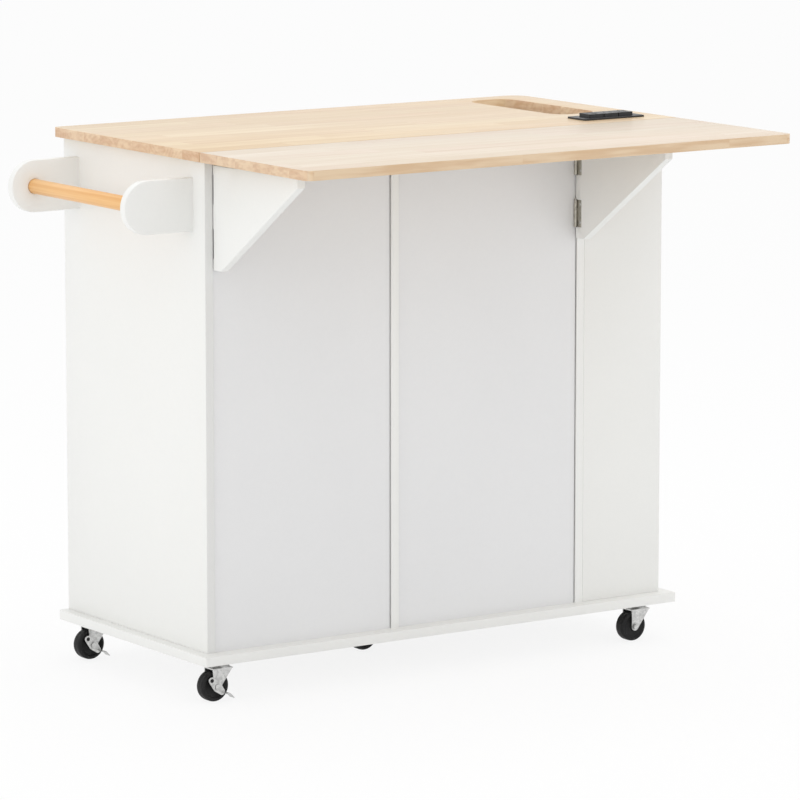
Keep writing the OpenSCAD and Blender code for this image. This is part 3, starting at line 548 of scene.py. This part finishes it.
def plated(name, colour, roughness, crystal):
    """Plated steel. crystal is how much darker the dullest crystals are."""
    material, tree, shader, where = new_finish(name, colour, roughness, 1.0)
    cells = tree.nodes.new("ShaderNodeTexVoronoi")
    feed(tree, cells.inputs["Vector"], where)
    cells.inputs["Scale"].default_value = CRYSTAL_SCALE
    grey = tree.nodes.new("ShaderNodeSeparateColor")
    tree.links.new(cells.outputs["Color"], grey.inputs[0])
    haze = cloud(tree, where, HAZE_SCALE, 4.0, 0.6)
    dull = tuple(c * DULL_SHARE for c in colour)
    tone = layer(tree, grey.outputs[0], crystal, colour, dull)
    tone = layer(tree, between(tree, haze, 0.42, 0.66), crystal * HAZE_SHARE, tone, dull)
    tree.links.new(tone, shader.inputs["Base Color"])
    gloss = sums(tree, "MULTIPLY_ADD", grey.outputs[1], CRYSTAL_GLOSS,
                 between(tree, haze, 0.3, 0.7, roughness - 0.06, roughness + 0.05))
    tree.links.new(gloss, shader.inputs["Roughness"])
    relief(tree, shader, haze, METAL_RELIEF)
    return material


zinc_steel = plated("zinc_steel", (0.720, 0.720, 0.710), 0.32, 0.42)
# Painted shade: the hinges' zinc is darker and warmer than the casters'.
hinge_zinc_shaded = plated("zinc_steel_hinges_shaded", (0.560, 0.535, 0.470), 0.38, 0.35)
knob_nickel = plated("knob_nickel", (0.620, 0.610, 0.590), 0.26, 0.15)
print("metals:", zinc_steel.name, hinge_zinc_shaded.name, knob_nickel.name)

# %% [markdown]
# ## Black plastic
#
# The wheels and the power strip are both moulded black plastic. The wheels are matte, with dust
# picked up by the tread, and the power strip has a fine spark-eroded texture with a soft sheen.

# %% Make the plastics
DUST = (0.085, 0.083, 0.080)
DUST_SCALE, SHEEN_SCALE = 60.0, 90.0
SPARK_DEPTH = 0.00005


def moulded(name, colour, roughness, grain, dusty, specular):
    material, tree, shader, where = new_finish(name, colour, roughness)
    shader.inputs["Specular IOR Level"].default_value = specular
    patches = between(tree, cloud(tree, where, DUST_SCALE, 3.0), 0.35, 0.75)
    tree.links.new(layer(tree, patches, dusty, colour, DUST), shader.inputs["Base Color"])
    gloss = between(tree, cloud(tree, where, SHEEN_SCALE), 0.3, 0.7, roughness - 0.06, roughness + 0.08)
    tree.links.new(gloss, shader.inputs["Roughness"])
    relief(tree, shader, cloud(tree, where, grain), SPARK_DEPTH)
    return material


wheel_black = moulded("wheel_black", (0.012, 0.012, 0.0125), 0.50, 500.0, 0.12, 0.22)
black_plastic = moulded("black_plastic", (0.016, 0.016, 0.018), 0.34, 1400.0, 0.06, 0.45)
print("plastics:", wheel_black.name, black_plastic.name)

# %% [markdown]
# ## A finish for every imported node
#
# The record names a finish for each node, so no node is dressed by hand. The hinges are the one exception:
# their slot is the casters' zinc, and they take the darker, warmer one, with its painted shade. Nodes that a
# new piece replaces get theirs too, which costs nothing.

# %% Dress the imported nodes
FINISH = dict(white_board=white_board, back_panel=back_panel, light_oak=light_oak, pine_rail=pine_rail,
              zinc_steel=zinc_steel, knob_nickel=knob_nickel, wheel_black=wheel_black,
              black_plastic=black_plastic)
SLOT_OF = {part["node"]: part["material_slot"] for part in frame["record"]["subparts"]}
BODY_OF = {node: body for body, nodes in frame["record"]["behaviour"]["bodies"].items() for node in nodes}
for node_name, node in frame["nodes"].items():
    node.data.materials.clear()
    # Hinges get the zinc with painted shade.
    hinge = "hinge" in node_name and node_name != "hinge_battens"
    node.data.materials.append(hinge_zinc_shaded if hinge else FINISH[SLOT_OF[node_name]])
print(len(frame["nodes"]), "nodes have a finish")

# %% [markdown]
# ## From a bmesh to a piece
#
# Every new piece ends in the same way: its mesh becomes an object at the origin, its round faces are shaded
# smooth with sharp lines only where two faces meet at a real angle, it takes its slot's finish or one given
# to it, and it is tied to the body that moves it. One helper does this for all of them.

# %% Helper for a finished piece
SHARP_ANGLE = math.radians(32)


def finished(shape, name, slot, body, *stands_for, finish=None, sharp=SHARP_ANGLE):
    """Makes the shape a piece of the island. stands_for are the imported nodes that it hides."""
    bmesh.ops.recalc_face_normals(shape, faces=shape.faces)
    mesh = bpy.data.meshes.new(name)
    shape.to_mesh(mesh)
    shape.free()
    mesh.materials.append(finish or FINISH[slot])
    mesh.polygons.foreach_set("use_smooth", [True] * len(mesh.polygons))
    mesh.set_sharp_from_angle(angle=sharp)
    piece = bpy.data.objects.new(name, mesh)
    bpy.context.scene.collection.objects.link(piece)
    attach(piece, body)
    if stands_for:
        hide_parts(*stands_for)


def ease(shape, edges, radius, segments=3):
    """Rounds the given edges over by radius."""
    bmesh.ops.bevel(shape, geom=edges, offset=radius, offset_type="OFFSET", segments=segments, profile=0.5,
                    affect="EDGES", clamp_overlap=True, material=-1)


print("piece helpers ready")

# %% [markdown]
# ## The worktop, the leaf and the base
#
# These are slabs cut out with a router: rounded corners, holes, and every edge eased by a
# millimetre or two so that it doesn't splinter. The outline starts as one flat face of four
# vertices. Bevelling a vertex rounds its corner, a fill leaves the holes open, and an extrusion
# gives the thickness, so the last bevel can run round the whole outline at once.

# %% Helper for a routed slab
CORNER_STEPS = 10
SHARP_CORNER = math.radians(40)


def rounded_outline(shape, low, high, radii):
    """A flat loop at z = 0 with a radius for each corner, anticlockwise from the low corner."""
    spots = ((low[0], low[1]), (high[0], low[1]), (high[0], high[1]), (low[0], high[1]))
    corners = [shape.verts.new((x, y, 0)) for x, y in spots]
    shape.faces.new(corners)
    for corner, radius in zip(corners, radii):
        if radius > 0:
            bmesh.ops.bevel(shape, geom=[corner], offset=radius, segments=CORNER_STEPS, profile=0.5,
                            affect="VERTICES", material=-1)


def routed_slab(low, high, radii, holes, easing):
    """A slab from low to high. holes are a low corner, a high corner and a radius each."""
    shape = bmesh.new()
    rounded_outline(shape, low, high, radii)
    for hole_low, hole_high, radius in holes:
        rounded_outline(shape, hole_low, hole_high, [radius] * 4)
    bmesh.ops.delete(shape, geom=shape.faces[:], context="FACES_ONLY")
    bmesh.ops.triangle_fill(shape, edges=shape.edges[:], use_beauty=True, normal=(0, 0, 1))
    bmesh.ops.translate(shape, verts=shape.verts, vec=(0, 0, high[2]))
    grown = bmesh.ops.extrude_face_region(shape, geom=shape.faces[:])["geom"]
    lower = [v for v in grown if isinstance(v, bmesh.types.BMVert)]
    bmesh.ops.translate(shape, verts=lower, vec=(0, 0, low[2] - high[2]))
    bmesh.ops.recalc_face_normals(shape, faces=shape.faces)
    sharp_edges = [e for e in shape.edges if len(e.link_faces) == 2 and e.calc_face_angle() > SHARP_CORNER]
    ease(shape, sharp_edges, easing)
    return shape


print("slab helper ready")

# %% Cut the worktop
TOP_RADIUS = 0.012
SLOT_CORNER = 0.032
WOOD_EASE = 0.0017
SLOT_LOW, SLOT_HIGH = (-0.482, -0.341), (-0.392, -0.060)
HOUSING_HALF, HOUSING_FIT = (0.0488, 0.0183), 0.0005
# the strip's housing stands in a square hole; its rim is wider and covers the hole's edge
strip_low, strip_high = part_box("power_strip_housing")
strip_mid = (strip_low + strip_high) / 2
reach_x, reach_y = (half + HOUSING_FIT for half in HOUSING_HALF)
housing_hole = ((strip_mid.x - reach_x, strip_mid.y - reach_y),
                (strip_mid.x + reach_x, strip_mid.y + reach_y), 0)
top_shape = routed_slab(top_low, top_high, (SLOT_CORNER, TOP_RADIUS, 0, 0),
                        [(SLOT_LOW, SLOT_HIGH, SLOT_CORNER), housing_hole], WOOD_EASE)
finished(top_shape, "worktop_eased", "light_oak", BODY_OF["main_top"], "main_top")
print("worktop of", [round(v * 1000) for v in top_high - top_low], "mm")

# %% Cut the leaf and the base
BASE_RADIUS, BASE_EASE = 0.003, 0.0010
leaf_shape = routed_slab(leaf_low, leaf_high, (0, 0, TOP_RADIUS, TOP_RADIUS), [], WOOD_EASE)
finished(leaf_shape, "drop_leaf_eased", "light_oak", BODY_OF["drop_leaf"], "drop_leaf", finish=leaf_oak)
base_low, base_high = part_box("base_board")
base_shape = routed_slab(base_low, base_high, (BASE_RADIUS,) * 4, [], BASE_EASE)
finished(base_shape, "base_board_eased", "white_board", BODY_OF["base_board"], "base_board")
print("leaf eased by", WOOD_EASE * 1000, "mm and base by", BASE_EASE * 1000, "mm")

# %% [markdown]
# ## The boards
#
# Foil wrapped boards have a small round edge, and it is the thin light line along it that makes a
# board look like a board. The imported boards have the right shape, with their grooves, mortises and
# pin holes, but knife sharp edges. A copy of each is merged, its flat triangles are dissolved, and
# only the edges on its outline are bevelled, so that the joints stay crisp.

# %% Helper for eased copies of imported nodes
MERGE_WITHIN = 0.00002
FLAT_WITHIN = math.radians(0.4)


def merged_copy(node_name):
    shape = bmesh.new()
    shape.from_mesh(frame["nodes"][node_name].data)
    bmesh.ops.remove_doubles(shape, verts=shape.verts, dist=MERGE_WITHIN)
    bmesh.ops.dissolve_limit(shape, angle_limit=FLAT_WITHIN, verts=shape.verts, edges=shape.edges,
                             use_dissolve_boundaries=False, delimit=set())
    return shape


def outer_edges(shape, shortest):
    """Sharp edges that stick out and are longer than shortest."""
    return [e for e in shape.edges if len(e.link_faces) == 2 and e.is_convex and e.calc_length() > shortest
            and e.calc_face_angle() > SHARP_CORNER]


def middle_of(edge):
    return (edge.verts[0].co + edge.verts[1].co) / 2


def eased_copy(node_name, radius, shortest, keep=None, segments=2, finish=None):
    """Replaces a node with a copy whose outer edges are eased, or only those that keep picks."""
    shape = merged_copy(node_name)
    edges = [e for e in outer_edges(shape, shortest) if keep is None or keep(e)]
    ease(shape, edges, radius, segments)
    finished(shape, node_name + "_eased", SLOT_OF[node_name], BODY_OF[node_name], node_name, finish=finish)


print("edges that meet at more than", round(math.degrees(SHARP_CORNER)), "degrees can be eased")

# %% Ease the uprights
FOIL_EASE = 0.0008
UPRIGHT_LONG = 0.3
ON_FACE = 0.00003


def on_box(node_name):
    """True for edges that lie on two faces of the node's own box: its outline, not its grooves."""
    low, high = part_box(node_name)

    def test(edge):
        middle = middle_of(edge)
        return sum(min(abs(middle[i] - low[i]), abs(middle[i] - high[i])) < ON_FACE for i in range(3)) >= 2
    return test


# The end panel takes the finish with the painted shade on its long edge.
eased_copy("rail_end_panel", FOIL_EASE, UPRIGHT_LONG, on_box("rail_end_panel"), finish=end_board_edge_shade)
for board_name in ("inner_divider", "bay_divider"):
    eased_copy(board_name, FOIL_EASE, UPRIGHT_LONG, on_box(board_name))
print("uprights eased by", FOIL_EASE * 1000, "mm")

# %% Ease the other boards, the doors and the drawers
BOARD_LONG = 0.010
DRAWER_EASE, DRAWER_LONG = 0.0005, 0.050
for board_name in ("bay_back_board", "bay_front_board", "top_stretchers", "front_rails", "shelves",
                   "rail_door", "mid_door", "rail_drawer_front", "mid_drawer_front"):
    eased_copy(board_name, FOIL_EASE, BOARD_LONG)
for box_name in ("rail_drawer_box", "mid_drawer_box"):
    eased_copy(box_name, DRAWER_EASE, DRAWER_LONG)
print("boards eased by", FOIL_EASE * 1000, "mm and drawer boxes by", DRAWER_EASE * 1000, "mm")

# %% [markdown]
# ## The brackets and the towel rail's arms
#
# These are cut from the same board, but they are handled, so their outlines are rounded more. The
# bracket keeps sharp edges at its hinge end, where the mortises and the notches are. The holes in
# the arms get a small chamfer, which draws the thin dark ring round the wooden rail.

# %% Ease the brackets
BRACKET_EASE, BRACKET_LONG = 0.0012, 0.012
HINGE_END = 0.0045
FACES_ALONG = 0.9


def on_sides(hinge_end):
    """True for outline edges on a bracket's two big faces, away from the hinge end."""
    def test(edge):
        flat = [abs(face.normal.x) > FACES_ALONG for face in edge.link_faces]
        return any(flat) and not all(flat) and max(v.co.y for v in edge.verts) > hinge_end + HINGE_END
    return test


for bracket_name in ("rail_bracket", "bay_bracket"):
    eased_copy(bracket_name, BRACKET_EASE, BRACKET_LONG, on_sides(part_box(bracket_name)[0].y), 3)
print("brackets eased by", BRACKET_EASE * 1000, "mm")

# %% Ease the towel rail's arms
ARM_EASE, ARM_SHORTEST = 0.0014, 0.0004
NEAR_HOLE = 0.014
ROOT_KEPT = 0.001
arms = merged_copy("towel_arms")
arm_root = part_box("towel_arms")[0].x
rail_low, rail_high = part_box("towel_rail")
rail_mid = (rail_low + rail_high) / 2
rim, outline = [], []
for edge in outer_edges(arms, ARM_SHORTEST):
    middle = middle_of(edge)
    from_axis = math.hypot(middle.x - rail_mid.x, middle.z - rail_mid.z)
    if from_axis < NEAR_HOLE:
        rim.append(edge)
    elif middle.x > arm_root + ROOT_KEPT:
        outline.append(edge)
ease(arms, outline + rim, ARM_EASE, 4)
finished(arms, "towel_arms_eased", "white_board", BODY_OF["towel_arms"], "towel_arms")
print("arms:", len(outline), "outline edges and", len(rim), "rim edges")

# %% [markdown]
# ## The back panels
#
# A thin panel slides in grooves, and the groove is a little wider than the panel, so a dark line
# stands beside each upright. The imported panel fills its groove. Here each panel is a core that
# reaches into the grooves, with the face that shows raised from it and stopped just short.

# %% Make the back panels
GROOVE_DEPTH = 0.005
SHADOW_GAP = 0.0010
FACE_RAISE = 0.0025
LEAST_FACE = 0.1
panels = bmesh.new()
panel_low, panel_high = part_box("back_panels")
bay_spans = ((panel_low.x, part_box("inner_divider")[0].x + GROOVE_DEPTH),
             (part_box("inner_divider")[1].x - GROOVE_DEPTH, panel_high.x))
for x_low, x_high in bay_spans:
    size = Vector((x_high - x_low, panel_high.y - panel_low.y - FACE_RAISE, panel_high.z - panel_low.z))
    middle = Vector(((x_low + x_high) / 2, panel_low.y + size.y / 2, (panel_low.z + panel_high.z) / 2))
    in_place = Matrix.Translation(middle) @ Matrix.Diagonal((*size, 1))
    bmesh.ops.create_cube(panels, size=1, matrix=in_place)
    for x in (x_low + GROOVE_DEPTH + SHADOW_GAP, x_high - GROOVE_DEPTH - SHADOW_GAP):
        bmesh.ops.bisect_plane(panels, geom=panels.verts[:] + panels.edges[:] + panels.faces[:],
                               plane_co=(x, 0, 0), plane_no=(1, 0, 0))
raised = [f for f in panels.faces if f.normal.y > FACES_ALONG and f.calc_area() > LEAST_FACE]
grown = bmesh.ops.extrude_discrete_faces(panels, faces=raised)["faces"]
bmesh.ops.translate(panels, verts=list({v for f in grown for v in f.verts}), vec=(0, FACE_RAISE, 0))
print(len(grown), "panel faces raised by", FACE_RAISE * 1000, "mm")
finished(panels, "back_panels_set_in", "back_panel", BODY_OF["back_panels"], "back_panels")

# %% [markdown]
# ## Turned pieces
#
# The towel rail, the knobs, the wheels and the cups of the casters are all round about one axis. A
# profile of points, each a radius and a height along the axis, is spun once round with its ends
# merged, and then moved to its place. Closing the profile on itself gives a ring with a bore.

# %% Helper for turning
TURN_STEPS = 48
POLE_WITHIN = 0.000001


def turned(shape, profile, place, axis, steps=TURN_STEPS, ring=False):
    """Spins the profile about axis with its height 0 at place. A ring's profile closes on itself."""
    start = len(shape.verts)
    points = [shape.verts.new((radius, 0, height)) for radius, height in profile]
    lines = [shape.edges.new(pair) for pair in zip(points, points[1:])]
    if ring:
        lines.append(shape.edges.new((points[-1], points[0])))
    bmesh.ops.spin(shape, geom=points + lines, cent=(0, 0, 0), axis=(0, 0, 1), angle=2 * math.pi,
                   steps=steps, use_merge=True, use_duplicate=False)
    shape.verts.ensure_lookup_table()
    made = shape.verts[start:]
    turn = Vector(axis).to_track_quat("Z", "Y").to_matrix().to_4x4()
    bmesh.ops.transform(shape, matrix=Matrix.Translation(place) @ turn, verts=made)
    bmesh.ops.remove_doubles(shape, verts=made, dist=POLE_WITHIN)


def in_mm(*points):
    return [(radius / 1000, height / 1000) for radius, height in points]


print("turned pieces have", TURN_STEPS, "sides unless they are larger")

# %% Turn the towel rail
RAIL_STEPS = 64
rail_length = rail_high.y - rail_low.y
rail_shape = bmesh.new()
END_ROUND = in_mm((0, 0), (11.5, 0), (12.2, 0.3), (12.5, 1.0))
rail_profile = END_ROUND + [(END_ROUND[-1][0], rail_length / 2)]
rail_profile += [(radius, rail_length - height) for radius, height in reversed(END_ROUND)]
turned(rail_shape, rail_profile, (rail_mid.x, rail_low.y, rail_mid.z), (0, 1, 0), RAIL_STEPS)
finished(rail_shape, "towel_rail_turned", "pine_rail", BODY_OF["towel_rail"], "towel_rail")
print("rail of", round(rail_length, 3), "m")

# %% Turn the knobs
KNOB_PROFILE = in_mm((0, 0), (9, 0), (9, 1.1), (8.6, 1.6), (7.5, 2.5), (6.7, 4.0), (6.4, 6.5), (6.4, 9.5),
                     (7.1, 12.2), (9.2, 14.5), (12.0, 16.3), (14.1, 18.0), (15, 19.8), (14.9, 21.0),
                     (14.0, 22.2), (12.2, 23.1), (9.0, 23.7), (5.0, 23.95), (0, 24))
for knob_name in ("rail_door_knob", "mid_door_knob", "rail_drawer_knob", "mid_drawer_knob"):
    low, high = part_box(knob_name)
    knob_shape = bmesh.new()
    turned(knob_shape, KNOB_PROFILE, ((low.x + high.x) / 2, high.y, (low.z + high.z) / 2), (0, -1, 0))
    finished(knob_shape, knob_name + "_turned", "knob_nickel", BODY_OF[knob_name], knob_name)
print("four knobs of", KNOB_PROFILE[-1][1] * 1000, "mm")

# %% [markdown]
# ## The wheels
#
# Each wheel is moulded in one piece: a tread rounded at both shoulders with a thin line where the
# two halves of the mould met, a dished side, and a hub that stands level with the tread. The
# profile is written for one half and mirrored.

# %% Turn the wheels
HALF_WHEEL = in_mm((3.1, -10.5), (6.5, -10.5), (7.0, -10.2), (7.3, -9.4), (7.6, -8.7), (8.4, -8.5),
                   (12.0, -8.3), (17.6, -8.5), (18.8, -8.9), (19.3, -9.7), (19.9, -10.3), (20.8, -10.5),
                   (22.6, -10.35), (24.2, -9.6), (25.3, -8.2), (25.88, -6.4), (25.98, -4.4), (25.98, -0.55),
                   (25.7, -0.3))
WHEEL_PROFILE = HALF_WHEEL + [(radius, -height) for radius, height in reversed(HALF_WHEEL)]
WHEEL_STEPS, WHEEL_SHARP = 72, math.radians(40)
CASTERS = range(1, 6)
for number in CASTERS:
    wheel = f"wheel_{number}"
    low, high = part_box(wheel)
    wheel_shape = bmesh.new()
    turned(wheel_shape, WHEEL_PROFILE, (low + high) / 2, (0, 1, 0), WHEEL_STEPS, ring=True)
    finished(wheel_shape, wheel + "_turned", "wheel_black", BODY_OF[wheel], wheel, sharp=WHEEL_SHARP)
print("five wheels of", len(WHEEL_PROFILE) * WHEEL_STEPS, "faces each")

# %% [markdown]
# ## The casters' metal
#
# Forks and brake cheeks are stamped from sheet, which leaves a soft edge on one side of every cut.
# They are eased like the boards, by a few tenths. Under each mounting plate the steel is pressed
# into a shallow cup for the balls, and that cup is a turned ring.

# %% Ease the forks and the brake cheeks
FORK_EASE, FORK_SHORTEST = 0.0004, 0.0035
CHEEK_EASE, CHEEK_SHORTEST = 0.0003, 0.0005
for number in CASTERS:
    eased_copy(f"fork_{number}", FORK_EASE, FORK_SHORTEST)
for number in (1, 2):
    eased_copy(f"brake_lever_{number}", CHEEK_EASE, CHEEK_SHORTEST)
print("forks eased by", FORK_EASE * 1000, "mm and cheeks by", CHEEK_EASE * 1000, "mm")

# %% Turn the cups
CUP_STEPS = 64
CASTER_SPOTS = [(x, y) for x in (0.3745, -0.4855) for y in (0.057, -0.342)] + [(-0.0555, -0.1425)]
PLATE_UNDER = 0.065
CUP_PROFILE = in_mm((14.6, 0.6), (19.4, 0.6), (19.4, -0.05), (18.2, -0.25), (17.2, -0.9), (16.6, -2.2),
                    (16.3, -3.5), (15.7, -3.95), (14.6, -3.95))
cups = bmesh.new()
for x, y in CASTER_SPOTS:
    turned(cups, CUP_PROFILE, (x, y, PLATE_UNDER), (0, 0, 1), CUP_STEPS, ring=True)
finished(cups, "caster_cups", "zinc_steel", BODY_OF["caster_mounts"])
print("cups under", len(CASTER_SPOTS), "mounting plates")

# %% [markdown]
# The two casters at the towel rail end have brakes, and they come first in the list of spots. Each
# brake cheek has a black stop in its upper eye and a ring pressed round the axle. Both are small
# turned pieces that stand a fraction of a millimetre proud of the cheek.

# %% Turn the stops and the pressed rings
EYE_ASIDE, EYE_UP = 0.0105, 0.0115
CHEEK_FACE = 0.0159
AXLE_ASIDE, AXLE_HEIGHT = 0.017, 0.026
STOP_STEPS = 32
STOP_PROFILE = in_mm((0, -1.2), (2.2, -1.2), (2.2, -0.1), (3.3, -0.05), (3.3, 0.35), (3.0, 0.65),
                     (2.2, 0.8), (0, 0.85))
PRESSED_RING = in_mm((5.0, -0.2), (5.0, 0.05), (5.35, 0.3), (6.0, 0.38), (6.6, 0.3), (7.0, 0.05), (7.0, -0.2))
for number, (x, y) in enumerate(CASTER_SPOTS[:2], start=1):
    lever_body = BODY_OF[f"brake_lever_{number}"]
    axle = Vector((x + AXLE_ASIDE, y + CHEEK_FACE, AXLE_HEIGHT))
    stop = bmesh.new()
    turned(stop, STOP_PROFILE, axle + Vector((EYE_ASIDE, 0, EYE_UP)), (0, 1, 0), STOP_STEPS)
    finished(stop, f"brake_stop_{number}", "wheel_black", lever_body)
    pressed = bmesh.new()
    turned(pressed, PRESSED_RING, axle, (0, 1, 0), ring=True)
    finished(pressed, f"brake_ring_{number}", "zinc_steel", lever_body)
print("two stops and two pressed rings")

# %% [markdown]
# ## The power strip
#
# A moulded rim with three socket blocks. The blocks' top edges are rounded so that each one
# catches its own line of light, and the dark joints between them stay open.

# %% Ease the power strip
RIM_EASE, BLOCK_EASE = 0.0008, 0.0006
STRIP_SHORTEST = 0.0003
UNDER_TOP = 0.00005


def on_top(node_name):
    """True for edges that lie in the node's top face."""
    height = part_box(node_name)[1].z

    def test(edge):
        return min(v.co.z for v in edge.verts) > height - UNDER_TOP
    return test


for node_name, easing in (("power_strip_housing", RIM_EASE), ("power_sockets", BLOCK_EASE)):
    eased_copy(node_name, easing, STRIP_SHORTEST, on_top(node_name), 3)
print("power strip eased by", RIM_EASE * 1000, "and", BLOCK_EASE * 1000, "mm")

# %% [markdown]
# ## Screws
#
# Every hinge plate and mounting plate is held by cross head screws. A head starts as a plus shaped
# face of twelve corners. Rings of growing radius are bridged round it to make the dome, and the
# plus is extruded down for the driver. Each screw stopped at its own angle, so each is turned.

# %% Helper for screws
PLUS_REACH, PLUS_HALF = 0.54, 0.12
DRIVER_DEPTH = 0.0008
HEAD_SIDES = 16
RIM_UNDER = -0.0003


def screw(shape, place, axis, radius, dome, turn):
    """A head of that radius and dome height. The plus's reach and half width are shares of the radius."""
    start = len(shape.verts)
    arm = [(PLUS_REACH, -PLUS_HALF), (PLUS_REACH, PLUS_HALF), (PLUS_HALF, PLUS_HALF)]
    corners = []
    for quarter in range(4):
        spin = Matrix.Rotation(quarter * math.pi / 2, 3, "Z")
        corners += [shape.verts.new(spin @ Vector((x * radius, y * radius, dome))) for x, y in arm]
    plus = shape.faces.new(corners)
    ring = plus.edges[:]
    for share, height in ((0.72, dome * 0.86), (0.93, dome * 0.45), (1.0, 0.0), (0.97, RIM_UNDER)):
        circle = bmesh.ops.create_circle(shape, cap_ends=height < 0, radius=radius * share,
                                         segments=HEAD_SIDES, matrix=Matrix.Translation((0, 0, height)))
        next_ring = list({e for v in circle["verts"] for e in v.link_edges})
        bmesh.ops.bridge_loops(shape, edges=ring + next_ring)
        ring = next_ring
    sunk = bmesh.ops.extrude_face_region(shape, geom=[plus])["geom"]
    low_corners = [v for v in sunk if isinstance(v, bmesh.types.BMVert)]
    bmesh.ops.translate(shape, verts=low_corners, vec=(0, 0, -DRIVER_DEPTH))
    if plus.is_valid:
        bmesh.ops.delete(shape, geom=[plus], context="FACES_ONLY")
    shape.verts.ensure_lookup_table()
    made = shape.verts[start:]
    aim = Vector(axis).to_track_quat("Z", "Y").to_matrix().to_4x4()
    to_place = Matrix.Translation(place) @ aim @ Matrix.Rotation(turn, 4, "Z")
    bmesh.ops.transform(shape, matrix=to_place, verts=made)


print("screw heads have", HEAD_SIDES, "sides")

# %% Mark where the screws go
DOWN = (0, 0, -1)
TO_LEAF_SIDE = (0, 1, 0)
TO_RAIL_END, TO_OPEN_END = (1, 0, 0), (-1, 0, 0)
BRACKET_HEIGHTS = (0.745667, 0.776333, 0.834667, 0.865333)
DOOR_HEIGHTS = (0.153333, 0.186667, 0.635333, 0.668667)
LEAF_ALONG = [x + side for x in (-0.4545, -0.0555, 0.3435) for side in (-0.016667, 0.016667)]
LEAF_PIN_Y, LEAF_PLATE_Z = 0.085, 0.8965
BRACKET_PLATE_Y, DOOR_PLATE_Y = 0.07955, -0.37305
HINGE_SCREWS = {
    "cabinet": [((x, LEAF_PIN_Y - 0.0095, LEAF_PLATE_Z), DOWN) for x in LEAF_ALONG]
    + [((0.36775, 0.0675, z), TO_LEAF_SIDE) for z in BRACKET_HEIGHTS]
    + [((-0.34625, 0.0715, z), TO_LEAF_SIDE) for z in BRACKET_HEIGHTS]
    + [((0.3920, DOOR_PLATE_Y, z), TO_OPEN_END) for z in DOOR_HEIGHTS]
    + [((-0.3380, DOOR_PLATE_Y, z), TO_RAIL_END) for z in DOOR_HEIGHTS],
    "drop_leaf_body": [((x, LEAF_PIN_Y + 0.01025, LEAF_PLATE_Z), DOWN) for x in LEAF_ALONG],
    "rail_bracket_body": [((0.3798, BRACKET_PLATE_Y, z), TO_OPEN_END) for z in BRACKET_HEIGHTS],
    "bay_bracket_body": [((-0.3378, BRACKET_PLATE_Y, z), TO_RAIL_END) for z in BRACKET_HEIGHTS],
    "rail_door_body": [((0.3916, DOOR_PLATE_Y, z), TO_RAIL_END) for z in DOOR_HEIGHTS],
    "mid_door_body": [((-0.3376, DOOR_PLATE_Y, z), TO_OPEN_END) for z in DOOR_HEIGHTS],
}
print(sum(len(spots) for spots in HINGE_SCREWS.values()), "screws in the hinges")

# %% Drive the screws
TURN_STEP = 2.4
HINGE_HEAD, PLATE_HEAD = 0.0027, 0.0036
HINGE_DOME, DOOR_DOME, PLATE_DOME = 0.00035, 0.0001, 0.0016
PLATE_HOLE = 0.017
total = 0
for body_name, spots in HINGE_SCREWS.items():
    screws = bmesh.new()
    for spot, facing in spots:
        dome = DOOR_DOME if spot[1] == DOOR_PLATE_Y else HINGE_DOME
        screw(screws, spot, facing, HINGE_HEAD, dome, total * TURN_STEP)
        total += 1
    if body_name == "cabinet":
        for x, y in CASTER_SPOTS:
            for side_x, side_y in ((-1, -1), (1, -1), (1, 1), (-1, 1)):
                spot = (x + side_x * PLATE_HOLE, y + side_y * PLATE_HOLE, PLATE_UNDER)
                screw(screws, spot, DOWN, PLATE_HEAD, PLATE_DOME, total * TURN_STEP)
                total += 1
    finished(screws, body_name + "_screws", "zinc_steel", body_name)
print(total, "screws in all")
